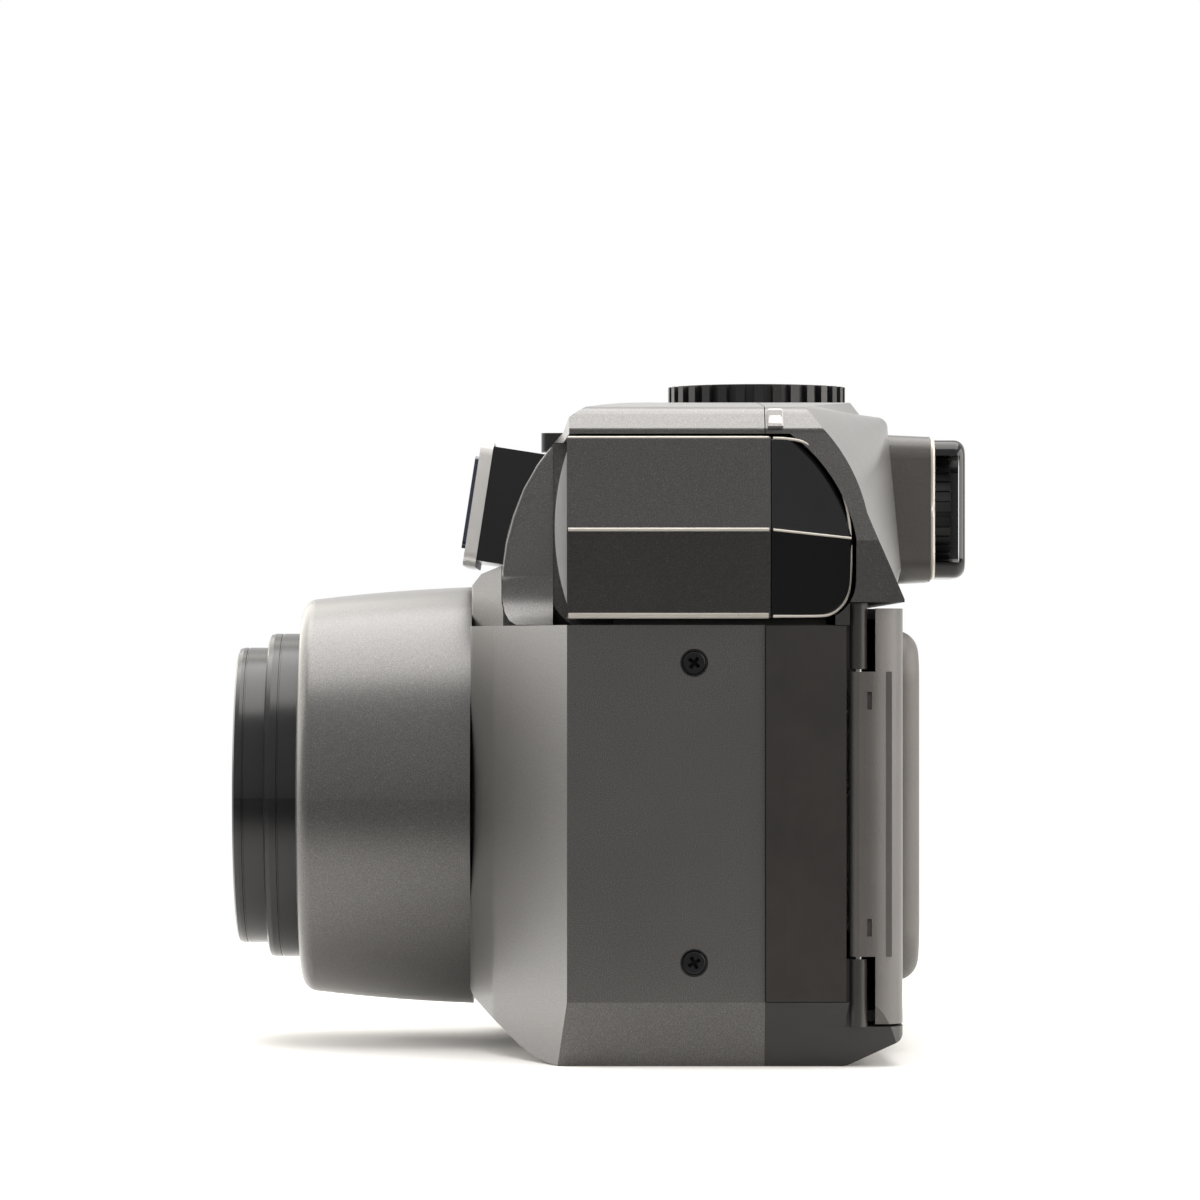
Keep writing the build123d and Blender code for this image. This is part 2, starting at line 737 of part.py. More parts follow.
def barrier(side):
    """One of the two lens barrier plates: side is +1 above the axis and -1 below it."""
    half_w = mask_half_w + 0.6
    tall = mask_half_h + 0.5
    y0 = inner_tube_front_y + 2.1
    outline = rounded_outline([
        (-half_w, side * 0.03, 0),
        (half_w, side * 0.03, 0),
        (half_w, side * tall, 3.0),
        (-half_w, side * tall, 3.0),
    ])
    return along_y(Pos(lens_x, lens_z) * outline, y0, y0 + barrier_t)


def front_cell():
    """Ring that holds the front glass and backs the barrier."""
    y0 = cell_front_y
    face = make_face(Polyline(
        (glass_r + 0.6, y0),
        (lens_block_r, y0),
        (lens_block_r, y0 + cell_depth),
        (glass_r - 1.0, y0 + cell_depth),
        (glass_r - 1.0, y0 + 6.1),
        (glass_r + pin_play, y0 + 6.1),
        (glass_r + pin_play, y0 + 1.2),
        close=True,
    ))
    return turned(face)


def dome(r, y, height, toward):
    """Arc from the axis to radius r at y. Its axis end is height further forward (-1) or back (1)."""
    bend = (r * r + height * height) / (2 * height)
    half = asin(r / bend) / 2
    mid_y = y + toward * (height - bend * (1 - cos(half)))
    return ThreePointArc((0, y + toward * height), (bend * sin(half), mid_y), (r, y))


def glass_disc(r, y0, y1, front_dome, back_dome, back_toward=1):
    """Lens element between y0 and y1 at its edge, with a domed front and a domed or hollow back."""
    front_y = y0 - front_dome
    rear_y = y1 + back_toward * back_dome
    profile = make_face([
        dome(r, y0, front_dome, -1),
        Line((r, y0), (r, y1)),
        dome(r, y1, back_dome, back_toward),
        Line((0, rear_y), (0, front_y)),
    ])
    return turned(profile)


def front_glass():
    return glass_disc(glass_r, cell_front_y + 2.6, cell_front_y + 6.0, 2.0, 1.4, -1)


def shutter_unit():
    """Shutter and aperture block behind the front glass, with the rear glass's seat on its back."""
    y0 = cell_front_y + cell_depth + fit_gap
    seat_y = lens_block_back_y
    body = ring_y(lens_block_r, 7.6, y0, y0 + 5.0)
    body += ring_y(lens_block_r, 5.4, y0 + 5.0, y0 + 8.0)
    body += ring_y(lens_block_r - 3.0, glass_r - 0.8, y0 + 8.0, seat_y)
    return body - rod_y(lens_x, lens_z, seat_y - 3.4, BIG, glass_r + pin_play)


def rear_glass():
    return glass_disc(glass_r, lens_block_back_y - 3.2, lens_block_back_y - 0.4, 0.9, 0.9)


# Inner frame
def chassis_space():
    """Space inside the covers for the chassis, up to the chambers' roofs."""
    low = lower_body(wall + fit_gap)
    high = upper_body(wall + fit_gap) & block(-BIG, BIG, -BIG, BIG, split_z, chamber_roof_z)
    over_cassette = block(gate_x1, hinge_side_x, crease_y, frame_back_y, split_z, chamber_roof_z)
    whole = low & (block(-BIG, BIG, -BIG, BIG, 0, split_z) + high + over_cassette)
    return whole - flash_ledge(fit_gap)


def gate_frame(space):
    """Middle of the chassis: lens bore in front, film gate and rails at the back."""
    body = block(gate_x0, gate_x1, crease_y - 4.0, frame_back_y, floor_z, chamber_roof_z)
    body &= space
    body -= pedestal(-2 * fit_gap)
    body -= block(flash_x0 - flash_gap - wall - fit_gap, BIG, -BIG, BIG, split_z, BIG)
    body -= rod_y(lens_x, lens_z, -BIG, film_plane_y - gate_wall, frame_bore_r)
    for reach in (gate_h / 2 + 0.8, gate_h / 2 + 6.0):
        for side in (-1, 1):
            z = lens_z + side * reach
            body += block(gate_x0, gate_x1, frame_back_y, film_plane_y, z - rail_w / 2, z + rail_w / 2)
    body -= block(
        lens_x - gate_w / 2, lens_x + gate_w / 2, 0, BIG, lens_z - gate_h / 2, lens_z + gate_h / 2,
    )
    body -= post(0, 0, 0, socket_depth + 1.0 + fit_gap, bush_r + fit_gap)
    return body - wheel_pocket() + counter_pin()


def wheel_pocket():
    """Pocket beside the gate for the film-counting wheel."""
    reach = counter_r + counter_tooth + play
    return block(
        counter_x - reach, counter_x + reach, counter_y - reach, BIG, counter_z - 1.6, counter_z + 1.6
    )


def counter_wheel():
    """Six-toothed wheel that the film's perforations turn."""
    wheel = post(counter_x, counter_y, counter_z - 1.0, counter_z + 1.0, counter_r)
    for k in range(6):
        tooth = block(counter_r - 0.5, counter_r + counter_tooth, -0.5, 0.5, counter_z - 0.6, counter_z + 0.6)
        wheel += Pos(counter_x, counter_y, 0) * Rot(0, 0, 60 * k) * tooth
    return wheel - post(counter_x, counter_y, 0, BIG, counter_pin_r + pin_play)


def counter_pin():
    return post(counter_x, counter_y, counter_z - 2.0, counter_z + 2.0, counter_pin_r)


def cassette_chamber(space):
    """Chamber for the film cassette, open to the back."""
    body = block(gate_x1 + fit_gap, hinge_side_x, crease_y, frame_back_y, floor_z, chamber_roof_z)
    body &= space
    body -= block(-BIG, BIG, -BIG, cassette_front_y, split_z, BIG)
    body -= post(cassette_x, film_plane_y - cassette_r, chamber_z0, chamber_z0 + chamber_h, cassette_r)
    body -= block(
        cassette_x - cassette_r, cassette_x + cassette_r, film_plane_y - cassette_r, BIG,
        chamber_z0, chamber_z0 + chamber_h,
    )
    body -= block(0, cassette_x, frame_back_y - 2.6, BIG, lens_z - 17.6, lens_z + 17.6)
    body -= post(cassette_x, film_plane_y - cassette_r, 0, BIG, 3.2 + play)
    body -= post(hinge_x, hinge_y, 0, BIG, hinge_relief_r + play)
    body -= block(arm_x - fit_gap, BIG, arm_y - fit_gap, BIG, 0, BIG)
    for z in side_screw_zs:
        body -= rod_x(side_screw_y, z, hinge_side_x - screw_length - 1.0, BIG, screw_shaft_r + pin_play)
    body -= motor_space()
    return drilled(body)


def drilled(body):
    """Pilot holes for the base plate's screws."""
    for x, y in base_screw_places():
        body -= post(x, y, 0, screw_length + 1.0, screw_shaft_r + pin_play)
    return body


def rewind_fork():
    """Fork that turns the cassette's spool, standing up from the chamber's floor."""
    z0 = chamber_z0
    cy = film_plane_y - cassette_r
    fork = post(cassette_x, cy, floor_z + 0.4, z0 + 1.4, 3.2)
    fork += post(cassette_x, cy, z0 + 1.4, z0 + 5.2, 1.6)
    fork += block(cassette_x - 2.9, cassette_x + 2.9, cy - 0.6, cy + 0.6, z0 + 1.4, z0 + 4.8)
    return fork


def spool_chamber(space):
    """Chamber for the take-up spool, open to the back."""
    cy = film_plane_y - spool_chamber_r
    front_y = cy - spool_chamber_r - 1.4
    body = block(spool_x0, gate_x0 - fit_gap, front_y, frame_back_y, floor_z, chamber_roof_z)
    body &= space
    body -= post(spool_x, cy, chamber_z0, chamber_z0 + chamber_h, spool_chamber_r)
    body -= block(
        spool_x - spool_chamber_r, spool_x + spool_chamber_r, cy, BIG, chamber_z0, chamber_z0 + chamber_h,
    )
    body -= block(spool_x, BIG, frame_back_y - 2.6, BIG, lens_z - 17.6, lens_z + 17.6)
    body -= post(spool_x, cy, 0, BIG, 4.9)
    return drilled(body)


def takeup_spool():
    """Hollow spool with a rubber-gripped waist and slotted drive ribs."""
    cy = film_plane_y - spool_chamber_r
    z0, z1 = chamber_z0 + 0.5, chamber_z0 + chamber_h - 0.5
    spool = post(spool_x, cy, z0, z1, spool_r)
    for k in range(8):
        rib = block(spool_r - 0.3, spool_r + 0.5, -0.5, 0.5, z0 + 3.0, z1 - 3.0)
        spool += Pos(spool_x, cy, 0) * Rot(0, 0, 45 * k) * rib
    return spool - post(spool_x, cy, 0, BIG, 5.2)


def film_motor():
    """Winding motor inside the take-up spool."""
    cy = film_plane_y - spool_chamber_r
    top = chamber_z0 + chamber_h - film_motor_gap
    motor = post(spool_x, cy, floor_z + 1.0, top, 4.8)
    return motor + post(spool_x, cy, top, top + 4.0, 1.0)


zoom_motor_x = 37.6
zoom_motor_y = -16.4
zoom_motor_r = 4.6


def motor_space():
    return post(zoom_motor_x, zoom_motor_y, 0, BIG, zoom_motor_r + play)


def zoom_motor():
    motor = post(zoom_motor_x, zoom_motor_y, floor_z + 6.0, floor_z + 28.0, zoom_motor_r)
    return motor + post(zoom_motor_x, zoom_motor_y, floor_z + 28.0, floor_z + 32.0, 1.4)


def battery_box(space):
    """Two upright cell chambers in the grip, open at the base."""
    body = block(-BIG, cell_box_x1, -BIG, door_in_y - 6.0, floor_z, cell_z0 + cell_h + 3.0)
    body &= space
    for y in cell_ys:
        body -= post(cell_x, y, 0, cell_z0 + cell_h + 0.8, cell_r + 0.2)
    lo, hi = cell_ys
    body -= block(cell_x - 5.0, cell_x + 5.0, lo, hi, 0, cell_z0 + cell_h + 0.8)
    body -= hatch_opening()
    body -= block(
        hatch_axis_x - 1.9 - fit_gap, BIG, hatch_hinge_y0 - hatch_stub_l - wall - fit_gap,
        hatch_y1 + hatch_stub_l + wall + fit_gap, 0, hatch_boss_z + fit_gap,
    )
    return body


def cells():
    """Two lithium cells, one up and one down."""
    made = []
    for k, y in enumerate(cell_ys):
        cell = post(cell_x, y, cell_z0, cell_z0 + cell_h - 1.2, cell_r)
        nub = post(cell_x, y, cell_z0 + cell_h - 1.2, cell_z0 + cell_h, 3.0)
        whole = cell + nub
        if k == 1:
            whole = Pos(0, 0, 2 * cell_z0 + cell_h) * mirror(whole, about=Plane.XY)
        made.append(whole)
    return made


def hatch_outline(extra, z0, z1):
    """Plan of the hatch, notched at its front corner where the hinge's stub goes in."""
    notch_x = hatch_axis_x - 2.6
    return block(hatch_x0 - extra, notch_x + extra, hatch_y0 - extra, hatch_y1 + extra, z0, z1) + block(
        notch_x, hatch_axis_x - 0.4 + extra, hatch_hinge_y0 - extra, hatch_y1 + extra, z0, z1,
    )


def hatch_opening():
    return hatch_outline(play, -1, cell_z0) + block(
        hatch_axis_x - 1.0, hatch_axis_x + hatch_barrel_r + play,
        hatch_hinge_y0 - play, hatch_y1 + play, -1, cell_z0,
    )


def hatch_boss(y0, y1):
    """Block over the floor that takes one of the hatch's stubs."""
    return block(hatch_axis_x - 1.9, hatch_axis_x + 1.9, y0, y1, 0.8, hatch_boss_z)


def hatch_stubs(extra):
    return rod_y(
        hatch_axis_x, hatch_barrel_r, hatch_hinge_y0 - hatch_stub_l - extra, hatch_y1 + hatch_stub_l + extra,
        hatch_stub_r + extra,
    )


def battery_hatch():
    """Cover under the cells, curved as the floor is and hinged on two stubs along its inner edge."""
    plate = (lower_body() - lower_body(wall)) & hatch_outline(0, 0, cell_z0 - 0.4)
    for k in range(4):
        x = hatch_x0 + 2.0 + 1.6 * k
        plate -= block(x, x + 0.7, hatch_y0 + 11.0, hatch_y1 - 11.0, -1, 0.3)
    barrel = rod_y(hatch_axis_x, hatch_barrel_r, hatch_hinge_y0, hatch_y1, hatch_barrel_r)
    return plate + barrel + hatch_stubs(0)


# Film door
def door_space():
    return block(door_free_x, BIG, door_front_y, BIG, door_low_z, door_high_z)


def film_door():
    """Hinged back with light-trap flanges and a knuckle between the frame's two."""
    shell = (lower_body() - lower_body(wall)) & door_space()
    flange_y = frame_back_y + play
    flange = 1.2
    shell += block(door_free_x, hinge_x - 6.0, flange_y, door_in_y, door_high_z - flange, door_high_z)
    shell += block(door_free_x, hinge_x - 6.0, flange_y, door_in_y, door_low_z, door_low_z + flange)
    shell += block(door_free_x, door_free_x + flange, flange_y, door_in_y, door_low_z, door_high_z)
    z0, z1 = hinge_low_z, hinge_high_z
    knuckle = post(hinge_x, hinge_y, z0, z1, hinge_r)
    knuckle += block(hinge_x - hinge_r, hinge_x + 0.4, hinge_y, door_in_y + 0.2, z0, z1)
    shell -= block(-BIG, BIG, -BIG, hinge_y, 0, BIG) & block(hinge_x - 6.0, BIG, -BIG, BIG, 0, BIG)
    shell += knuckle
    for low, high in ((0, z0), (z1, BIG)):
        shell -= post(hinge_x, hinge_y, low, high, hinge_r + play)
        shell -= block(arm_x - play, BIG, 0, hinge_y + door_notch, low, high)
    for rise in slot_rises:
        z = lens_z + rise
        shell -= block(hinge_side_x - 0.5, BIG, hinge_y + 0.95, hinge_y + 1.5, z, z + 2.0)
    shell -= hinge_bore(pin_play)
    shell -= film_window_shape(fit_gap)
    return shell


def door_pad():
    """Raised panel on the door's back."""
    pad = block(pad_x0, pad_x1, back_y, back_y + pad_t, pad_z0, pad_z1)
    pad = fillet(pad.edges().filter_by(Axis.Y), 6.0)
    return fillet(pad.faces().sort_by(Axis.Y)[-1].edges(), pad_t - 0.4)


def film_window_shape(extra):
    return rounded_box_y(
        cassette_x, lens_z, 3.6 + extra, 12.0 + extra, door_in_y - 0.1, back_y + 1.0, 3.4,
    )


def film_window():
    """Clear strip that shows the cassette's label."""
    return rounded_box_y(cassette_x, lens_z, 3.6, 12.0, door_in_y, back_y - 0.2, 3.4)


def pressure_plate():
    """Flat plate that holds the film on the rails."""
    y0 = film_plane_y + 0.25
    plate = block(lens_x - 19.0, lens_x + 19.0, y0, y0 + 1.0, lens_z - 17.2, lens_z + 17.2)
    plate = fillet(plate.edges().filter_by(Axis.Y), 2.0)
    return plate - block(-BIG, counter_x + 5.0, -BIG, BIG, counter_z - 1.7, counter_z + 1.7)


plate_travel = 0.8


def plate_spring():
    """Two bowed leaves between the door and the pressure plate."""
    y0 = film_plane_y + 1.25 + plate_travel + 0.1
    leaves = []
    for side in (-1, 1):
        z = lens_z + side * 9.0
        bow = make_face([
            ThreePointArc((-12.0, door_in_y), (0, y0), (12.0, door_in_y)),
            Line((12.0, door_in_y), (11.0, door_in_y)),
            ThreePointArc((11.0, door_in_y), (0, y0 + 0.35), (-11.0, door_in_y)),
            Line((-11.0, door_in_y), (-12.0, door_in_y)),
        ])
        leaves.append(along_z(Pos(lens_x, 0) * bow, z - 2.0, z + 2.0))
    return leaves


# Door latch
latch_x0, latch_x1 = -60.5, -54.6
latch_z0, latch_z1 = 27.0, 39.0
latch_travel = 4.0


def latch_slot():
    return block(
        latch_x0 + 1.5, latch_x1 - 1.5, door_in_y - 1.0, BIG,
        latch_z0 + 2.0 - latch_travel - play, latch_z1 - 2.0 + play,
    )


def door_latch():
    """Ribbed slider on the back of the grip, with its hook plate inside."""
    stem = block(
        latch_x0 + 1.5 + play, latch_x1 - 1.5 - play, door_in_y - play, back_y + 0.2,
        latch_z0 + 2.0, latch_z1 - 2.0,
    )
    knob = block(latch_x0, latch_x1, back_y + 0.2, back_y + 1.6, latch_z0, latch_z1)
    knob = fillet(knob.edges().filter_by(Axis.Y), 1.5)
    for k in range(5):
        z = latch_z0 + 2.2 + 1.7 * k
        knob -= block(latch_x0 + 1.0, latch_x1 - 1.0, back_y + 1.2, BIG, z, z + 0.8)
    hook = block(latch_x0 + 0.5, latch_x1 + 2.0, door_in_y - play - 1.0, door_in_y - play, latch_z0, latch_z1)
    return stem + knob + hook


# Flash
def flash_side():
    """Side view of the flash: square at the front, swept round at the back."""
    turn_z = flash_ridge_z - flash_ridge_drop
    return make_face([
        Line((crease_y, flash_z0), (crease_y, flash_z1)),
        Line((crease_y, flash_z1), (flash_back_y - 7.3, flash_z1)),
        ThreePointArc(
            (flash_back_y - 7.3, flash_z1),
            (flash_back_y - 2.85, flash_z1 - 4.6),
            (flash_back_y, turn_z),
        ),
        Line((flash_back_y, turn_z), (flash_back_y, flash_z0 + 4.2)),
        ThreePointArc(
            (flash_back_y, flash_z0 + 4.2),
            (flash_back_y - 1.3, flash_z0 + 1.2),
            (flash_back_y - 4.4, flash_z0),
        ),
        Line((flash_back_y - 4.4, flash_z0), (crease_y, flash_z0)),
    ])


def flash_front():
    """Front view of the flash: its side comes to a low ridge."""
    return make_face(Polyline(
        (flash_x0, flash_z0),
        (flash_edge_x, flash_z0),
        (flash_ridge_x, flash_ridge_z),
        (flash_edge_x, flash_z1),
        (flash_x0, flash_z1),
        close=True,
    ))


def flash_housing():
    """Painted front half of the flash, hollow behind its window."""
    body = along_y(flash_front(), crease_y, flash_seam_y - fit_gap / 2) & along_x(flash_side(), flash_x0, BIG)
    long_edges = [e for e in body.edges().filter_by(Axis.Y) if e.center().X > flash_x0 + 10]
    body = fillet(long_edges, flash_edge_r)
    w = flash_wall
    x0, x1 = flash_x0 + w, flash_edge_x - w
    body -= block(x0, x1, -BIG, crease_y + flash_window_t + fit_gap, flash_z0 + w, flash_z1 - w)
    body -= block(x0, x1, -BIG, flash_room_y, flash_floor_z + w, flash_z1 - w)
    return body - guide_holes() - chamber_clearance()


def flash_back():
    """Gloss back half of the flash. Its back end is tucked in, and the ridge drops towards it."""
    y0 = flash_seam_y + fit_gap / 2
    far = make_face(Polyline(
        (flash_x0, flash_z0),
        (flash_edge_x - flash_tuck, flash_z0),
        (flash_ridge_x - flash_tuck, flash_ridge_z - flash_ridge_drop),
        (flash_edge_x - flash_tuck, flash_z1),
        (flash_x0, flash_z1),
        close=True,
    ))
    bar = loft([Plane.XZ.offset(-y0) * flash_front(), Plane.XZ.offset(-flash_back_y) * far], ruled=True)
    body = bar & along_x(flash_side(), flash_x0, BIG)
    ridge_middle = (flash_ridge_x - flash_tuck / 2, (y0 + flash_back_y) / 2, flash_ridge_z)
    ridge = body.edges().sort_by_distance(ridge_middle)[0]
    rim = [
        e for e in body.edges()
        if e.center().X > flash_edge_x - flash_tuck - 1.0 and e.center().Y > flash_seam_y + 0.5
        and e != ridge
    ]
    return chamfer(rim, flash_edge_r) - guide_holes() - chamber_clearance()


def chamber_clearance():
    """Room under the flash for the cassette chamber's roof."""
    roof_side_x = hinge_side_x - wall
    return block(
        -BIG, roof_side_x + fit_gap, cassette_front_y - play, BIG, 0, flash_floor_z,
    )


def guide_holes():
    """Holes that run on the guide rods, deep enough for the flash pushed home."""
    made = Part()
    for y in guide_rod_ys:
        made += rod_x(y, guide_rod_z, 0, guide_rod_x1 + 1.0, guide_rod_r + pin_play)
    return made


def guide_rods():
    return [rod_x(y, guide_rod_z, guide_rod_x0, guide_rod_x1, guide_rod_r) for y in guide_rod_ys]


def flash_window():
    """Clear front of the flash, bowed forwards."""
    w = flash_wall + fit_gap
    mid_z = (flash_z0 + flash_z1) / 2
    bow = make_face([
        ThreePointArc(
            (crease_y, flash_z0 + w), (crease_y - flash_window_bulge, mid_z), (crease_y, flash_z1 - w)
        ),
        Polyline(
            (crease_y, flash_z1 - w), (crease_y + flash_window_t, flash_z1 - w),
            (crease_y + flash_window_t, flash_z0 + w), (crease_y, flash_z0 + w),
        ),
    ])
    return along_x(bow, flash_x0 + w, flash_edge_x - w)


def flash_reflector():
    """Polished trough behind the window."""
    mid_z = (flash_z0 + flash_z1) / 2
    half = mid_z - flash_floor_z - flash_wall - fit_gap
    y0 = crease_y + flash_window_t + play
    y1 = y0 + half - fit_gap
    t = 0.5
    outer = make_face([
        ThreePointArc((y0, mid_z - half), (y1, mid_z), (y0, mid_z + half)),
        Line((y0, mid_z + half), (y0, mid_z - half)),
    ])
    inner = make_face([
        ThreePointArc((y0 - 0.01, mid_z - half + t), (y1 - t, mid_z), (y0 - 0.01, mid_z + half - t)),
        Line((y0 - 0.01, mid_z + half - t), (y0 - 0.01, mid_z - half + t)),
    ])
    x0, x1 = flash_x0 + flash_wall + 0.3, flash_edge_x - flash_wall - 0.3
    shell = along_x(outer, x0, x1) - along_x(inner, x0 + t, x1 - t)
    return shell - rod_x(flash_tube_y, mid_z, x0 - 1, x1 + 1, flash_tube_r + pin_play)


flash_tube_r = 1.3
flash_tube_y = crease_y + 5.0


def flash_tube():
    """Xenon tube across the reflector."""
    mid_z = (flash_z0 + flash_z1) / 2
    x0, x1 = flash_x0 + flash_wall + 0.2, flash_edge_x - flash_wall - 0.2
    return rod_x(flash_tube_y, mid_z, x0, x1, flash_tube_r)


# Finder
def leaned(shape):
    """Shape drawn upright at the finder's lower front edge, leaned back to the finder's slope."""
    return Pos(finder_x, finder_front_y, finder_z0) * Rot(-finder_lean, 0, 0) * shape


def finder_height():
    return (finder_z1 - finder_z0) / cos(finder_lean * pi / 180)


def finder_block(extra=0.0):
    """Gloss housing that carries the finder's windows, wider at its back than its front."""
    h = finder_height()
    plan = make_face(Polyline(
        (-finder_half_w - extra, 0.6),
        (finder_half_w + extra, 0.6),
        (finder_half_w + extra, 12.0),
        (-finder_half_w - extra, 12.0),
        close=True,
    ))
    return leaned(along_z(plan, -extra, h + extra)) & block(
        -BIG, BIG, -BIG, finder_hole_back_y + extra, 0, BIG
    )


def finder_housing():
    body = finder_block()
    for x, w, z, tall in window_places():
        body -= leaned(block(x - w / 2, x + w / 2, -BIG, 3.0, z - tall / 2, z + tall / 2))
    return body


def window_places():
    """Windows in the finder's front as (x, width, z, height): the objective and two focus windows."""
    mid = finder_height() / 2
    return [
        (eyepiece_x - finder_x, 11.0, mid, 7.0),
        (-6.0, 5.0, mid, 5.0),
        (-13.0, 5.0, mid, 5.0),
    ]


def finder_bezel():
    """Bright frame round the finder's front."""
    h = finder_height()
    rim = 1.5
    outer = block(-finder_half_w - 0.8, finder_half_w + 0.8, -0.9, 0.6, -0.8, h + 0.5)
    outer = fillet(outer.edges().filter_by(Axis.Y), 1.6)
    inner = block(-finder_half_w + rim, finder_half_w - rim, -BIG, 0.6 - 0.01, rim - 0.4, h - rim + 0.2)
    inner += block(-finder_half_w + rim + 0.8, finder_half_w - rim - 0.8, -BIG, BIG, rim + 0.4, h - rim - 0.6)
    return leaned(outer - inner)


def finder_window():
    """Dark coated front panel inside the bezel."""
    h = finder_height()
    rim = 1.5
    panel = block(
        -finder_half_w + rim + fit_gap, finder_half_w - rim - fit_gap, -1.4, 0.5,
        rim - 0.4 + fit_gap, h - rim + 0.2 - fit_gap,
    )
    return leaned(fillet(panel.edges().filter_by(Axis.Y), 0.8))


def finder_tunnel(extra=0.0):
    """Bar that the finder's optics fill, from the front windows to the eyepiece."""
    return rounded_box_y(
        eyepiece_x, eyepiece_z, eyepiece_half_w - 2.2 + extra, eyepiece_half_h - 2.4 + extra,
        finder_hole_back_y, BIG, 1.5,
    )


def finder_optics():
    return finder_tunnel() & block(-BIG, BIG, finder_hole_back_y + fit_gap, back_y + 3.4, 0, BIG)


def eyepiece_hood():
    """Grained hood that tapers towards the eye."""
    w, h = 2 * eyepiece_half_w, 2 * eyepiece_half_h
    root = Pos(eyepiece_x, eyepiece_z) * RectangleRounded(w + 1.2, h + 0.8, 3.0)
    tip = Pos(eyepiece_x, eyepiece_z) * RectangleRounded(w, h, 2.6)
    y0 = back_y - 4.0
    body = loft([
        Pos(0, y0, 0) * (Plane.XZ * root),
        Pos(0, hood_end_y, 0) * (Plane.XZ * tip),
    ])
    body -= upper_body(-fit_gap)
    return body - finder_tunnel(fit_gap)


def eyepiece_rim():
    """Gloss end of the eyepiece, slotted at its side for the dioptre wheel."""
    y0, y1 = hood_end_y, rim_end_y
    rim = rounded_box_y(eyepiece_x, eyepiece_z, eyepiece_half_w - 0.1, eyepiece_half_h - 0.4, y0, y1, 2.4)
    rim = fillet(rim.faces().sort_by(Axis.Y)[-1].edges(), 1.3)
    cup = rounded_box_y(eyepiece_x, eyepiece_z, eyepiece_half_w - 1.5, eyepiece_half_h - 2.0, y0 + 2.8, BIG, 2.0)
    well = rod_y(eyepiece_x, eyepiece_z, y0 + 0.5, y0 + 2.8, dioptre_r + play)
    side = block(
        eyepiece_x, BIG, y0 + 0.5, y1 - 0.7,
        eyepiece_z - dioptre_r + 0.9, eyepiece_z + dioptre_r - 0.9,
    ) - block(-BIG, eyepiece_x + eyepiece_half_w - 2.4, y0 + 2.8, BIG, 0, BIG)
    return rim - cup - well - side - rod_y(eyepiece_x, eyepiece_z, y0 - 1, BIG, 4.4)


def dioptre_wheel():
    """Serrated ring that sets the eyepiece to the eye."""
    y0 = hood_end_y + 0.5 + play / 2
    y1 = hood_end_y + 2.8 - play
    wheel = ring_y(dioptre_r - 0.3, 4.6, y0, y1, eyepiece_x, eyepiece_z)
    for k in range(dioptre_teeth):
        tooth = Pos(dioptre_r - 0.45, 0, 0) * Box(0.9, y1 - y0, 0.6)
        turned_tooth = Rot(0, 360 * k / dioptre_teeth, 0) * tooth
        wheel += Pos(eyepiece_x, (y0 + y1) / 2, eyepiece_z) * turned_tooth
    return wheel


def eyepiece_glass():
    """Eye lens, held in the dioptre wheel."""
    y0 = hood_end_y + 0.5 + play / 2
    return rod_y(eyepiece_x, eyepiece_z, y0 + 0.2, y0 + 1.4, 4.55)


# Top controls
def mode_dial():
    """Knurled dial on a skirt, with its shaft through the roof."""
    z0 = roof_z + 0.15
    skirt_z = z0 + 0.6
    top = z0 + dial_h
    dial = post(dial_x, dial_y, z0, skirt_z, dial_r)
    dial += post(dial_x, dial_y, skirt_z, top, dial_r - 0.9)
    tooth = block(dial_r - 1.4, dial_r - 0.05, -0.55, 0.55, skirt_z, top - 0.05)
    for k in range(dial_teeth):
        dial += Pos(dial_x, dial_y, 0) * Rot(0, 0, 360 * k / dial_teeth) * tooth
    dial -= post(dial_x, dial_y, top - 0.3, BIG, dial_r - 2.6)
    return dial + post(dial_x, dial_y, roof_z - wall - 2.0, z0, dial_shaft_r)


def shutter_release():
    """Dished button on its plunger."""
    top = boss_z + 3.0
    button = post(release_x, release_y, boss_z - 2.0 + play, top, release_r)
    button = fillet(button.edges().filter_by(GeomType.CIRCLE).sort_by(Axis.Z)[-1], 0.6)
    return button - Pos(release_x, release_y, top + 23.4) * Sphere(24.0)


def zoom_lever():
    """Ring round the release, with a finger tab at its front."""
    z0, z1 = boss_z + 0.15, boss_z + 2.0
    ring = post(release_x, release_y, z0, z1, lever_r)
    tab = block(release_x - 2.5, release_x + 2.5, release_y - lever_r - 2.2, release_y, z0, z1 + 0.6)
    tab = fillet(tab.edges().filter_by(Axis.Z), 1.0)
    return (ring + tab) - post(release_x, release_y, 0, BIG, release_r + play)


def top_button(x):
    """Small push button standing just above the roof."""
    body = post(x, button_y, roof_z - wall - 0.8, roof_z + 0.9, button_r)
    body = fillet(body.edges().filter_by(GeomType.CIRCLE).sort_by(Axis.Z)[-1], 0.4)
    return body


def lcd_window():
    return block(
        lcd_x0 + fit_gap, lcd_x1 - fit_gap, lcd_y0 + fit_gap, lcd_y1 - fit_gap,
        roof_z - lcd_depth, roof_z - 0.1,
    )


def timer_lamp():
    """Lens of the self-timer lamp, set in the front between the lens and the grip."""
    return rod_y(lamp_x, lamp_z, valley_y - 0.3, valley_y + wall, lamp_r)


def strap_lug():
    """Metal loop for the wrist strap, let into the grip side."""
    z = split_z + 10.0
    loop = block(grip_side_x - 3.0, grip_side_x + 4.0, 9.6, 12.4, z - 6.0, z + 6.0)
    loop = fillet(loop.edges().filter_by(Axis.Y), 2.0)
    return loop - block(grip_side_x - 1.4, grip_side_x + 1.8, 0, BIG, z - 4.2, z + 4.2)


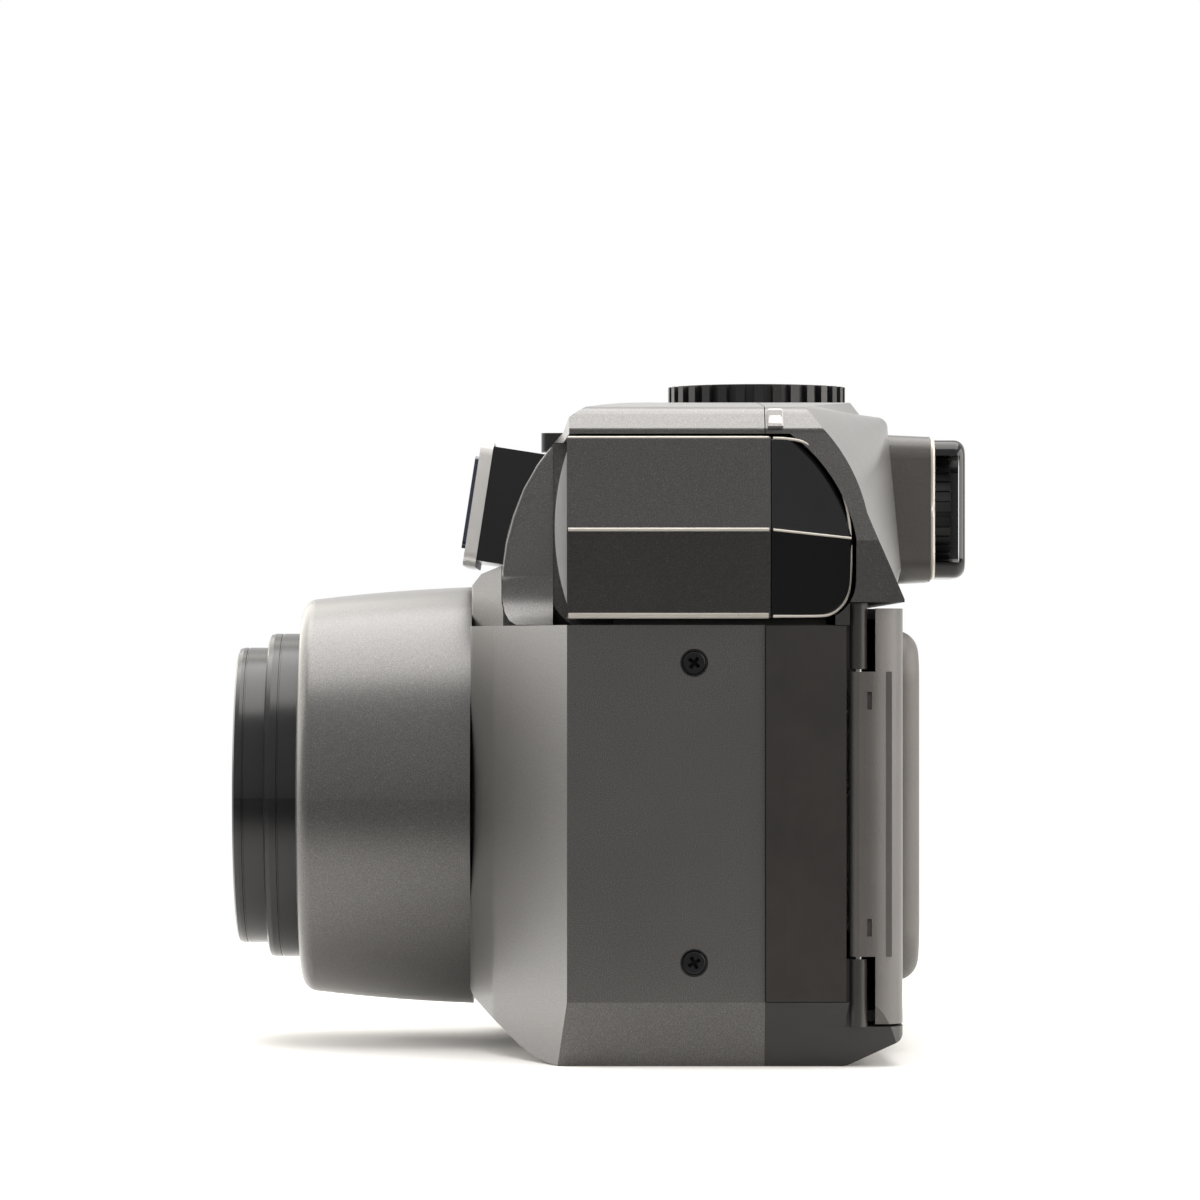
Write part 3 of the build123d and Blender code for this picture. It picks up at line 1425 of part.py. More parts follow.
shell = top_shell()
space = chassis_space()
nodes = {
    "front_cover": front_cover(),
    "rear_frame": rear_frame(),
    "side_panel": side_panel(),
    "base_plate": base_plate(),
    "top_cover": top_cover(shell),
    "rear_top_cover": rear_top_cover(shell),
    "tripod_bush": tripod_bush(),
    "cover_screws": Compound(children=cover_screws()),
    "hinge_pin": hinge_pin(),
    "strap_lug": strap_lug(),
    "timer_lamp": timer_lamp(),
    "lens_shroud": lens_shroud(),
    "fixed_barrel": fixed_barrel(),
    "outer_tube": outer_tube(),
    "inner_tube": inner_tube(),
    "lens_bezel": lens_bezel(),
    "upper_barrier": barrier(1),
    "lower_barrier": barrier(-1),
    "front_cell": front_cell(),
    "front_glass": front_glass(),
    "shutter_unit": shutter_unit(),
    "rear_glass": rear_glass(),
    "gate_frame": gate_frame(space),
    "counter_wheel": counter_wheel(),
    "cassette_chamber": cassette_chamber(space),
    "rewind_fork": rewind_fork(),
    "spool_chamber": spool_chamber(space),
    "takeup_spool": takeup_spool(),
    "film_motor": film_motor(),
    "zoom_motor": zoom_motor(),
    "battery_box": battery_box(space),
    "cells": Compound(children=cells()),
    "battery_hatch": battery_hatch(),
    "film_door": film_door(),
    "door_pad": door_pad(),
    "film_window": film_window(),
    "pressure_plate": pressure_plate(),
    "plate_spring": Compound(children=plate_spring()),
    "door_latch": door_latch(),
    "flash_housing": flash_housing(),
    "flash_back": flash_back(),
    "flash_window": flash_window(),
    "flash_reflector": flash_reflector(),
    "flash_tube": flash_tube(),
    "guide_rods": Compound(children=guide_rods()),
    "finder_housing": finder_housing(),
    "finder_bezel": finder_bezel(),
    "finder_window": finder_window(),
    "finder_optics": finder_optics(),
    "eyepiece_hood": eyepiece_hood(),
    "eyepiece_rim": eyepiece_rim(),
    "dioptre_wheel": dioptre_wheel(),
    "eyepiece_glass": eyepiece_glass(),
    "mode_dial": mode_dial(),
    "shutter_release": shutter_release(),
    "zoom_lever": zoom_lever(),
    "lcd_window": lcd_window(),
    "flash_button": top_button(button_xs[0]),
    "timer_button": top_button(button_xs[1]),
    "date_button": top_button(button_xs[2]),
}

os.makedirs("parts", exist_ok=True)
for name, shape in nodes.items():
    export_step(shape, f"parts/{name}.step")
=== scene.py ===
"""Looks for the compact film camera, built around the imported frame."""

import math

import bmesh
import bpy
from mathutils import Matrix, Vector


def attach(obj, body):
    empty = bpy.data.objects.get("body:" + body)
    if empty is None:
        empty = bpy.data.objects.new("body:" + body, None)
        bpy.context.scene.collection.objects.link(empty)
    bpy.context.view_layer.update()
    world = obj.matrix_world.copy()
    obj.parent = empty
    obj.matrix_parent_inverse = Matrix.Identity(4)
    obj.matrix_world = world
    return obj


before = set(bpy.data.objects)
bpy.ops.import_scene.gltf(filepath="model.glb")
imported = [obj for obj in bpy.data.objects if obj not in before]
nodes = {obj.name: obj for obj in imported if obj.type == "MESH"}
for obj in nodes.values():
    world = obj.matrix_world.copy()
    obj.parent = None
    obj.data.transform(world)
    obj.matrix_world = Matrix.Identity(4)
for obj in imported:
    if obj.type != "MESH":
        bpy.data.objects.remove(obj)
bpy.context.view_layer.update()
MM = 0.001


# Camera, at the photograph's place: level, square to the hinge side
camera_data = bpy.data.cameras.new("camera")
camera_data.sensor_width = 36.0
camera_data.lens = 191.7
camera_data.shift_y = 0.0458
camera_data.clip_start, camera_data.clip_end = 0.05, 20.0
camera = bpy.data.objects.new("camera", camera_data)
camera.location = (0.786, -0.012, 0.0469)
camera.rotation_euler = (math.radians(90), 0, math.radians(90))
bpy.context.scene.collection.objects.link(camera)
bpy.context.scene.camera = camera
bpy.context.scene.view_settings.view_transform = "Standard"


# Material helpers
def new_material(name):
    material = bpy.data.materials.new(name)
    material.use_nodes = True
    tree = material.node_tree
    tree.nodes.clear()
    out = tree.nodes.new("ShaderNodeOutputMaterial")
    shader = tree.nodes.new("ShaderNodeBsdfPrincipled")
    tree.links.new(shader.outputs["BSDF"], out.inputs["Surface"])
    return material, tree, shader


def add(tree, kind, **settings):
    node = tree.nodes.new(kind)
    for key, value in settings.items():
        setattr(node, key, value)
    return node


def math_node(tree, operation, first, second):
    """Value of an operation on two sockets."""
    node = add(tree, "ShaderNodeMath", operation=operation)
    tree.links.new(first, node.inputs[0])
    tree.links.new(second, node.inputs[1])
    return node.outputs["Value"]


def map_range(tree, source, low, high, low_value, high_value, **settings):
    """Value that goes from low_value to high_value while the source goes from low to high."""
    node = add(tree, "ShaderNodeMapRange", **settings)
    node.inputs["From Min"].default_value = low
    node.inputs["From Max"].default_value = high
    node.inputs["To Min"].default_value = low_value
    node.inputs["To Max"].default_value = high_value
    tree.links.new(source, node.inputs["Value"])
    return node.outputs["Result"]


def noise(tree, scale, detail=2.0, rough=0.5):
    """Noise in the object's own coordinates, in metres."""
    where = add(tree, "ShaderNodeTexCoord")
    made = add(tree, "ShaderNodeTexNoise")
    made.inputs["Scale"].default_value = scale
    made.inputs["Detail"].default_value = detail
    made.inputs["Roughness"].default_value = rough
    tree.links.new(where.outputs["Object"], made.inputs["Vector"])
    return made.outputs["Fac"]


def ramp(tree, source, low, high, start=0.3, end=0.7):
    """Colour that goes from low to high while the source goes from start to end."""
    made = add(tree, "ShaderNodeValToRGB")
    for stop, place, colour in zip(made.color_ramp.elements, (start, end), (low, high)):
        stop.position = place
        stop.color = (*colour, 1.0)
    tree.links.new(source, made.inputs["Fac"])
    return made.outputs["Color"]


def bump(tree, shader, source, depth_mm):
    made = add(tree, "ShaderNodeBump")
    made.inputs["Strength"].default_value = 1.0
    made.inputs["Distance"].default_value = depth_mm * MM
    tree.links.new(source, made.inputs["Height"])
    tree.links.new(made.outputs["Normal"], shader.inputs["Normal"])


def spread(colour, amount):
    """Two tones of a colour, darker and lighter by amount."""
    return [tuple(c * (1 - amount) for c in colour), tuple(min(1.0, c * (1 + amount)) for c in colour)]


def surface(name, colour, rough, metal=0.0, tone=0.12, tone_scale=90.0, grain_scale=4000.0, grain_mm=0.004,
            rough_spread=0.06, coat=0.0, coat_rough=0.05, specular=0.5, detail=2.0):
    """Opaque material: a mottled tone, slightly uneven roughness, and a fine moulded or sprayed grain."""
    material, tree, shader = new_material(name)
    mottled = ramp(tree, noise(tree, tone_scale, 4.0, 0.6), *spread(colour, tone))
    tree.links.new(mottled, shader.inputs["Base Color"])
    least, most = max(0.0, rough - rough_spread), min(1.0, rough + rough_spread)
    uneven = map_range(tree, noise(tree, tone_scale * 4.0, 3.0, 0.6), 0.0, 1.0, least, most)
    tree.links.new(uneven, shader.inputs["Roughness"])
    shader.inputs["Metallic"].default_value = metal
    shader.inputs["Coat Weight"].default_value = coat
    shader.inputs["Coat Roughness"].default_value = coat_rough
    shader.inputs["Specular IOR Level"].default_value = specular
    if grain_mm:
        bump(tree, shader, noise(tree, grain_scale, detail, 0.6), grain_mm)
    return material


def clear(name, colour, rough=0.02, through=1.0):
    """Glass or clear plastic; through is the share of light that goes through."""
    material, tree, shader = new_material(name)
    tree.links.new(ramp(tree, noise(tree, 40.0), *spread(colour, 0.03)), shader.inputs["Base Color"])
    shader.inputs["Roughness"].default_value = rough
    shader.inputs["IOR"].default_value = 1.49
    shader.inputs["Transmission Weight"].default_value = through
    return material


def paint(name, colour, flake):
    """Sprayed metallic paint: dark ground with very fine flakes, a satin lacquer and a faint orange peel."""
    rough, rough_spread = 0.38, 0.05
    material, tree, shader = new_material(name)
    flakes = ramp(tree, noise(tree, 9000.0, 1.0, 0.5), colour, flake, 0.45, 0.75)
    cloud = noise(tree, 60.0, 3.0, 0.6)
    mixed = add(tree, "ShaderNodeMix", data_type="RGBA", blend_type="MULTIPLY")
    mixed.inputs["Factor"].default_value = 1.0
    tree.links.new(flakes, mixed.inputs["A"])
    tree.links.new(ramp(tree, cloud, (0.94,) * 3, (1.0,) * 3), mixed.inputs["B"])
    tree.links.new(mixed.outputs["Result"], shader.inputs["Base Color"])
    uneven = map_range(tree, cloud, 0.0, 1.0, rough - rough_spread, rough + rough_spread)
    tree.links.new(uneven, shader.inputs["Roughness"])
    shader.inputs["Metallic"].default_value = 0.6
    shader.inputs["Specular IOR Level"].default_value = 0.5
    shader.inputs["Coat Weight"].default_value = 0.8
    shader.inputs["Coat Roughness"].default_value = 0.28
    bump(tree, shader, noise(tree, 3000.0, 2.0, 0.6), 0.003)
    return material


materials = {
    "paint": paint("graphite_paint", (0.092, 0.089, 0.088), (0.19, 0.185, 0.18)),
    # painted shade: the graphite paint made darker for the flash housing alone, so its faces stay dimmer
    # than the lamps make them
    "flash_paint_painted_shade": paint("flash_paint_painted_shade", (0.056, 0.054, 0.054), (0.118, 0.115, 0.112)),
    "cover_black": surface("moulded_black", (0.031, 0.029, 0.028), 0.38, grain_mm=0.006),
    "gloss_black": surface("polished_black", (0.006, 0.006, 0.007), 0.12, tone_scale=120, grain_scale=900,
                           grain_mm=0.002, rough_spread=0.03),
    "panel_black": surface("side_panel_black", (0.034, 0.031, 0.030), 0.24, grain_scale=1200, grain_mm=0.004,
                           rough_spread=0.04),
    "tube_black": surface("tube_black", (0.010, 0.010, 0.011), 0.24, grain_scale=1800, grain_mm=0.002,
                          rough_spread=0.04),
    "grained": surface("grained_charcoal", (0.055, 0.051, 0.048), 0.42, grain_scale=2600, grain_mm=0.03,
                       detail=3.0, coat=0.4, coat_rough=0.3),
    # painted light: a lighter copy of the grained charcoal for the film door, standing in for the back light
    # on its side
    "door_grain_painted_light": surface("door_grain_painted_light", (0.088, 0.083, 0.079), 0.42, grain_scale=2600, grain_mm=0.03,
                          detail=3.0, coat=0.4, coat_rough=0.3),
    # painted light: the pad's grain made lighter, standing in for the back light on the door
    "pad": surface("grained_pad_painted_light", (0.10, 0.094, 0.088), 0.45, grain_scale=2400, grain_mm=0.03, detail=3.0),
    "chassis": surface("chassis_black", (0.010, 0.010, 0.010), 0.6, grain_mm=0.008),
    "dial": surface("dial_black", (0.012, 0.012, 0.013), 0.38, grain_mm=0.004),
    "button": surface("button_grey", (0.03, 0.03, 0.033), 0.3, grain_mm=0.002),
    "release": surface("release_plate", (0.55, 0.55, 0.57), 0.22, metal=1.0, grain_scale=3000,
                       grain_mm=0.002),
    "chrome": surface("bright_plate", (0.80, 0.79, 0.78), 0.3, metal=0.4, tone=0.04, grain_mm=0.0),
    "steel": surface("blackened_steel", (0.05, 0.05, 0.052), 0.32, metal=1.0, grain_scale=3000),
    "bare_steel": surface("bare_steel", (0.42, 0.42, 0.43), 0.26, metal=1.0, grain_scale=3000),
    "brass": surface("plated_brass", (0.45, 0.34, 0.16), 0.3, metal=1.0, grain_scale=2500),
    "barrier": surface("anodised_sheet", (0.012, 0.012, 0.014), 0.35, metal=0.6, grain_scale=3500),
    "glass": clear("coated_glass", (0.86, 0.88, 0.90)),
    "window": clear("clear_moulding", (0.93, 0.94, 0.95), 0.03),
    "diffuser": clear("ribbed_moulding", (0.93, 0.935, 0.94), 0.22, through=0.4),
    "lamp": clear("red_lens", (0.45, 0.03, 0.02), 0.08),
    "finder_glass": surface("dark_blue_window", (0.004, 0.006, 0.03), 0.04, coat=1.0, coat_rough=0.02,
                            grain_mm=0.0, rough_spread=0.01),
    # painted highlight: a light cream stands in for the light that rounded edges catch
    "edge": surface("painted_highlight_edge", (0.62, 0.59, 0.54), 0.3, metal=0.2, tone=0.06, grain_mm=0.0),
    "insert": surface("pearl_insert", (0.60, 0.59, 0.58), 0.15, tone=0.05, grain_mm=0.0, coat=0.6),
    # painted shade: near-black for the shade inside the screws' cross recesses
    "cross": surface("painted_recess_shade", (0.004, 0.004, 0.004), 0.7, grain_mm=0.0, specular=0.1),
    "display": surface("unlit_display", (0.030, 0.034, 0.031), 0.3, tone=0.05, grain_mm=0.0, coat=1.0),
    "print": surface("white_print", (0.75, 0.75, 0.73), 0.5, tone=0.04, grain_mm=0.0),
    "cell_wrap": surface("cell_sleeve", (0.10, 0.11, 0.13), 0.25, metal=0.3, grain_mm=0.0),
}
uses = {
    "paint": ["front_cover", "top_cover", "rear_top_cover", "lens_shroud"],
    "flash_paint_painted_shade": ["flash_housing"],
    "door_grain_painted_light": ["film_door"],
    "cover_black": ["rear_frame", "base_plate", "battery_hatch"],
    "panel_black": ["side_panel"],
    "gloss_black": ["flash_back", "finder_housing", "eyepiece_rim"],
    "tube_black": ["outer_tube", "inner_tube", "lens_bezel"],
    "grained": ["eyepiece_hood"],
    "pad": ["door_pad"],
    "chassis": ["gate_frame", "cassette_chamber", "spool_chamber", "battery_box", "fixed_barrel",
                "front_cell", "shutter_unit", "takeup_spool", "rewind_fork", "counter_wheel"],
    "dial": ["mode_dial", "dioptre_wheel", "zoom_lever", "door_latch"],
    "button": ["flash_button", "timer_button", "date_button"],
    "release": ["shutter_release"],
    "chrome": ["finder_bezel", "flash_reflector"],
    "steel": ["cover_screws"],
    "bare_steel": ["hinge_pin", "guide_rods", "strap_lug", "pressure_plate", "plate_spring", "film_motor",
                   "zoom_motor"],
    "brass": ["tripod_bush"],
    "barrier": ["upper_barrier", "lower_barrier"],
    "glass": ["front_glass", "rear_glass", "eyepiece_glass", "finder_optics", "flash_tube"],
    "window": ["film_window"],
    "display": ["lcd_window"],
    "diffuser": ["flash_window"],
    "finder_glass": ["finder_window"],
    "lamp": ["timer_lamp"],
    "cell_wrap": ["cells"],
}
for key, names in uses.items():
    for name in names:
        nodes[name].data.materials.clear()
        nodes[name].data.materials.append(materials[key])


# Pieces made by hand
def deselect():
    if bpy.context.object and bpy.context.object.mode != "OBJECT":
        bpy.ops.object.mode_set(mode="OBJECT")
    bpy.ops.object.select_all(action="DESELECT")


def start_block(name, low, high):
    """Opens a block between two corners, given in mm, in edit mode."""
    deselect()
    middle = [(a + b) / 2 * MM for a, b in zip(low, high)]
    bpy.ops.mesh.primitive_cube_add(size=1.0, location=middle)
    piece = bpy.context.object
    piece.name = name
    piece.scale = [(b - a) * MM for a, b in zip(low, high)]
    bpy.ops.object.transform_apply(location=True, rotation=True, scale=True)
    bpy.ops.object.mode_set(mode="EDIT")
    return piece


def pick(piece, kind, test):
    """Selects the vertices, edges or faces whose middle, in mm, passes the test."""
    mesh = bmesh.from_edit_mesh(piece.data)
    for part in [*mesh.verts, *mesh.edges, *mesh.faces]:
        part.select = False
    for part in getattr(mesh, kind):
        if kind == "verts":
            middle = part.co
        elif kind == "edges":
            middle = (part.verts[0].co + part.verts[1].co) / 2
        else:
            middle = part.calc_center_median()
        if test(middle / MM):
            part.select_set(True)
    mesh.select_flush_mode()
    bmesh.update_edit_mesh(piece.data)


def slice_off(point, way):
    """Cuts away what lies beyond a plane, given by a point in mm and the way to what goes."""
    bpy.ops.mesh.select_all(action="SELECT")
    normal = Vector(way).normalized()
    bpy.ops.mesh.bisect(plane_co=Vector(point) * MM, plane_no=normal, use_fill=True, clear_outer=True)


def score(point, way):
    """Adds edges where a plane meets the piece."""
    bpy.ops.mesh.select_all(action="SELECT")
    bpy.ops.mesh.bisect(plane_co=Vector(point) * MM, plane_no=Vector(way).normalized())


def draw_out(move):
    """Extrudes the selected faces by a move in mm."""
    way = Vector(move) * MM
    bpy.ops.mesh.extrude_region_move(TRANSFORM_OT_translate={"value": way[:]})


def soften(width, steps):
    """Rounds all the piece's edges by a width in mm."""
    bpy.ops.mesh.select_all(action="SELECT")
    bpy.ops.mesh.bevel(offset=width * MM, segments=steps, affect="EDGES")


def close_piece(piece, finish, body, angle=35):
    """Leaves edit mode, smooths the piece up to an angle in degrees and fixes it to its body."""
    bpy.ops.mesh.select_all(action="SELECT")
    bpy.ops.mesh.remove_doubles(threshold=0.000002)
    bpy.ops.mesh.normals_make_consistent(inside=False)
    bpy.ops.object.mode_set(mode="OBJECT")
    bpy.ops.object.shade_smooth_by_angle(angle=math.radians(angle))
    piece.data.materials.clear()
    piece.data.materials.append(materials[finish])
    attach(piece, body)
    return piece


def cheek_panel():
    """Cheek of the top cover between the finder and the flash, flared where it meets the front cover."""
    inner_x, face_x = 22.0, 28.4
    front_y, rear_y = -23.6, -16.1
    low_z, high_z = 50.45, 72.8
    cheek_point, cheek_way = (24.1, -24.2, 0), (-0.84, 0.545, 0)
    rounded_low_z, rounded_rear_y, edge_round = 56.0, -17.6, 0.35
    near, level = 0.05, 0.02
    piece = start_block("cheek_panel", (inner_x, front_y, low_z), (face_x, rear_y, high_z))
    slice_off(cheek_point, cheek_way)
    # the front leans back in an arc
    lean = [(front_y, 57.0), (-23.15, 60.2), (-22.3, 63.4), (-21.1, 66.6), (-19.5, 69.4), (-17.5, 72.0),
            (-15.9, 73.6)]
    for (y0, z0), (y1, z1) in zip(lean, lean[1:]):
        slice_off((0, y0, z0), (0, -(z1 - z0), y1 - y0))
    # rounded foot
    foot = [(front_y, 53.4), (-23.25, 51.9), (-22.7, 50.95), (-21.9, low_z)]
    for (y0, z0), (y1, z1) in zip(foot, foot[1:]):
        slice_off((0, y0, z0), (0, z1 - z0, -(y1 - y0)))
    # the flare: how far out the face is at each height
    flare = {50.95: 3.2, 51.4: 2.6, 51.9: 2.05, 52.6: 1.4, 53.4: 0.85, 54.2: 0.45, 55.2: 0.18, 56.4: 0.04}
    for z in flare:
        score((0, 0, z), (0, 0, 1))
    for z, out in [*flare.items(), (low_z, 4.0)]:
        pick(piece, "verts", lambda v: abs(v.z - z) < level and v.x > face_x - near)
        bpy.ops.transform.translate(value=(out * MM, 0, 0))
    # the face's front edge above the flare
    pick(piece, "edges", lambda v: v.x > face_x - near and v.z > rounded_low_z and v.y < rounded_rear_y
         and (v.z >= lean[0][1] or abs(v.y - front_y) <= near))
    bpy.ops.mesh.bevel(offset=edge_round * MM, segments=3, affect="EDGES")
    return close_piece(piece, "paint", "camera_body", 50)


def painted_highlight_line(name, points, radius, body):
    """Painted highlight: a fine light rod through points in mm, with closed ends, laid along an edge."""
    deselect()
    bpy.ops.curve.primitive_nurbs_path_add(location=(0, 0, 0))
    line = bpy.context.object
    line.name = name
    spline = line.data.splines[0]
    # a new path has five points; those to spare lie at the line's end
    to_spare = len(spline.points) - len(points)
    if to_spare < 0:
        spline.points.add(-to_spare)
    for point, place in zip(spline.points, points + [points[-1]] * to_spare):
        point.co = (*[v * MM for v in place], 1.0)
    spline.order_u = 3
    spline.use_endpoint_u = True
    line.data.bevel_depth = radius * MM
    line.data.bevel_resolution = 3
    line.data.use_fill_caps = True
    line.data.resolution_u = 6
    bpy.ops.object.convert(target="MESH")
    bpy.ops.object.transform_apply(location=True, rotation=True, scale=True)
    bpy.ops.object.mode_set(mode="EDIT")
    return close_piece(bpy.context.object, "edge", body, 50)


def flash_highlights():
    """Painted highlights on the flash's edges: upper, ridge and lower, and the rim round its gloss back."""
    front_y, seam_y, back_y = -15.6, 7.3, 16.75
    low_z, ridge_z, high_z = 51.1, 61.1, 71.7
    housing_end_y, back_start_y = seam_y - 0.15, seam_y + 0.35
    edges = (("upper", 60.72, 71.55, 0.2), ("ridge", 62.82, ridge_z, 0.22), ("lower", 60.5, 51.55, 0.55))
    for name, x, z, radius in edges:
        painted_highlight_line(f"flash_{name}_edge", [(x, front_y, z), (x, housing_end_y, z)], radius, "flash")
    back_ridge = [(62.8, seam_y + 0.3, 61.08), (61.05, back_y - 0.25, 60.15)]
    painted_highlight_line("flash_back_ridge", back_ridge, 0.15, "flash")

    side_x, ridge_out, tuck, tuck_start_y, sunk = 60.9, 2.0, 1.8, 7.58, 0.12

    def rim_x(y, z):
        """How far out the gloss back's side is."""
        tucked = tuck * (y - tuck_start_y) / (back_y - tuck_start_y)
        up = (z - low_z) / (ridge_z - low_z) if z < ridge_z else (high_z - z) / (high_z - ridge_z)
        return side_x - tucked + ridge_out * max(0.0, min(1.0, up)) - sunk

    rim = [(back_start_y, 71.5), (9.4, 71.5), (11.7, 71.0), (14.3, 68.4), (16.0, 64.4), (16.5, 60.2),
           (16.5, 55.6), (16.1, 53.0), (14.4, 51.4), (12.2, 51.3), (back_start_y, 51.3)]
    painted_highlight_line("flash_back_rim", [(rim_x(y, z), y, z) for y, z in rim], 0.17, "flash")


def eyepiece_rim_highlight():
    """Painted highlight: a bright line round the front edge of the eyepiece's rim."""
    centre_x, centre_z, line_y, radius = 12.0, 64.4, 27.85, 0.3
    half_w, half_h, straight_w, straight_h = 8.4, 8.2, 3.6, 3.4
    corner = [(half_w, straight_h), (half_w, half_h), (straight_w, half_h)]
    upper = corner + [(-x, z) for x, z in reversed(corner)]
    lower = [(-x, -z) for x, z in upper]
    ring = [(half_w, 0), *upper, *lower, (half_w, 0)]
    points = [(centre_x + x, line_y, centre_z + z) for x, z in ring]
    painted_highlight_line("eyepiece_rim_highlight", points, radius, "camera_body")


def shoulder_highlight():
    """Painted highlight: a fine light line that carries the flash's ridge on over the shoulder."""
    points = [(61.0, 17.35, 60.0), (60.3, 18.4, 59.7), (59.2, 19.6, 59.2)]
    painted_highlight_line("shoulder_highlight", points, 0.1, "camera_body")


def roof_insert():
    """Small clear-grey block let into the roof's edge behind the seam."""
    low, high = (56.6, 7.05, 72.7), (60.3, 8.85, 75.0)
    slope_point, slope_way = (60.25, 0, 73.3), (0.62, 0, 0.78)
    piece = start_block("roof_insert", low, high)
    slice_off(slope_point, slope_way)
    soften(0.3, 3)
    return close_piece(piece, "insert", "camera_body")


def screw_cross(name, centre, out, turn):
    """Painted shade: a dark cross set in a screw's head where the recess's shade falls: a bar with two arms
    drawn out of it. out is the way the head faces.
    """
    arm, half_width, floor_z, top_z = 0.72, 0.2, -0.5, -0.32
    piece = start_block(name, (-arm, -half_width, floor_z), (arm, half_width, top_z))
    score((-half_width, 0, 0), (1, 0, 0))
    score((half_width, 0, 0), (1, 0, 0))
    for side in (-1, 1):
        pick(piece, "faces", lambda v: abs(v.x) < half_width / 2 and v.y * side > half_width * 0.95)
        draw_out((0, side * (arm - half_width), 0))
    soften(0.05, 2)
    bpy.ops.object.mode_set(mode="OBJECT")
    spin = Matrix.Rotation(math.radians(turn), 4, "Z")
    face = Vector(out).to_track_quat("Z", "Y").to_matrix().to_4x4()
    piece.matrix_world = Matrix.Translation(Vector(centre) * MM) @ face @ spin
    bpy.ops.object.transform_apply(location=True, rotation=True, scale=True)
    bpy.ops.object.mode_set(mode="EDIT")
    return close_piece(piece, "cross", "camera_body")


def side_screw_crosses():
    """Painted shade crosses in the two screws of the side plate, each turned as its screw is."""
    head_x, screw_y = 59.85, -1.3
    for z, turn in ((11.9, 28.0), (46.0, 52.0)):
        screw_cross(f"side_screw_cross_{round(z)}", (head_x, screw_y, z), (1, 0, 0), turn)


def battery_wall():
    """Ribbed wall that closes the battery box toward the film door."""
    low, high = (-51.6, 15.6, 2.2), (-42.7, 16.05, 40.3)
    rib_starts, rib_h, rib_inset, rib_out = (9, 17, 25, 33), 3, 0.5, 0.2
    piece = start_block("battery_wall", low, high)
    for z in rib_starts:
        score((0, 0, z), (0, 0, 1))
        score((0, 0, z + rib_h), (0, 0, 1))
    for z in rib_starts:
        pick(piece, "faces", lambda v: v.y > high[1] - 0.01 and z < v.z < z + rib_h)
        bpy.ops.mesh.inset(thickness=rib_inset * MM, depth=0.0)
        draw_out((0, rib_out, 0))
    soften(0.08, 2)
    return close_piece(piece, "chassis", "camera_body")


def dial_numbers():
    """Numbers 1 to 6 round the dial's top."""
    centre_x, centre_y, ring_r, face_z = -6.0, 7.4, 6.1, 79.74
    count, height, thickness = 6, 2.6, 0.03
    for k in range(count):
        deselect()
        angle = math.radians(90 - 360 / count * k)
        place = Vector((centre_x + ring_r * math.cos(angle), centre_y + ring_r * math.sin(angle), face_z))
        bpy.ops.object.text_add(location=place * MM, rotation=(0, 0, angle - math.radians(90)))
        number = bpy.context.object
        number.name = f"dial_number_{k + 1}"
        number.data.body = str(k + 1)
        number.data.size = height * MM
        number.data.align_x = "CENTER"
        number.data.align_y = "CENTER"
        number.data.extrude = thickness * MM
        bpy.ops.object.convert(target="MESH")
        bpy.ops.object.transform_apply(location=True, rotation=True, scale=True)
        bpy.ops.object.mode_set(mode="EDIT")
        close_piece(bpy.context.object, "print", "mode_dial")


# Floor and world
def seen_rays(tree, paths):
    """1 for what the camera sees straight, in a polished surface or through glass."""
    first = math_node(tree, "MAXIMUM", paths.outputs["Is Camera Ray"], paths.outputs["Is Glossy Ray"])
    return math_node(tree, "MAXIMUM", first, paths.outputs["Is Transmission Ray"])


def mix_shaders(tree, share, first, second):
    mix = add(tree, "ShaderNodeMixShader")
    tree.links.new(share, mix.inputs["Fac"])
    tree.links.new(first, mix.inputs[1])
    tree.links.new(second, mix.inputs[2])
    return mix.outputs["Shader"]


def pale_floor():
    """White table; its half near the camera gives little light back to the object, as in the photograph."""
    material, tree, shader = new_material("pale_floor")
    shader.inputs["Roughness"].default_value = 0.6
    tone = ramp(tree, noise(tree, 3.0), (0.93, 0.925, 0.915), (0.95, 0.945, 0.94))
    glow = add(tree, "ShaderNodeEmission")
    paths = add(tree, "ShaderNodeLightPath")
    where = add(tree, "ShaderNodeTexCoord")
    split = add(tree, "ShaderNodeSeparateXYZ")
    tree.links.new(where.outputs["Object"], split.inputs["Vector"])
    near = map_range(tree, split.outputs["X"], 0.02, 0.13, 1.0, 0.06, interpolation_type="SMOOTHSTEP")
    white = math_node(tree, "MAXIMUM", near, paths.outputs["Is Camera Ray"])
    colour = add(tree, "ShaderNodeVectorMath", operation="SCALE")
    tree.links.new(tone, colour.inputs[0])
    tree.links.new(white, colour.inputs["Scale"])
    tree.links.new(colour.outputs["Vector"], shader.inputs["Base Color"])
    tree.links.new(white, glow.inputs["Strength"])
    # round the object the floor is lit and shaded, and farther off it is plain white
    reach = add(tree, "ShaderNodeVectorMath", operation="LENGTH")
    tree.links.new(where.outputs["Object"], reach.inputs[0])
    fade = map_range(tree, reach.outputs["Value"], 0.09, 0.34, 0.0, 1.0)
    share = math_node(tree, "MULTIPLY", seen_rays(tree, paths), fade)
    shown = mix_shaders(tree, share, shader.outputs["BSDF"], glow.outputs["Emission"])
    tree.links.new(shown, tree.nodes["Material Output"].inputs["Surface"])
    return material


def floor_plane():
    half = 4.0
    corners = [(-half, -half, 0), (half, -half, 0), (half, half, 0), (-half, half, 0)]
    mesh = bpy.data.meshes.new("floor")
    mesh.from_pydata(corners, [], [(0, 1, 2, 3)])
    mesh.materials.append(pale_floor())
    floor = bpy.data.objects.new("floor", mesh)
    bpy.context.scene.collection.objects.link(floor)


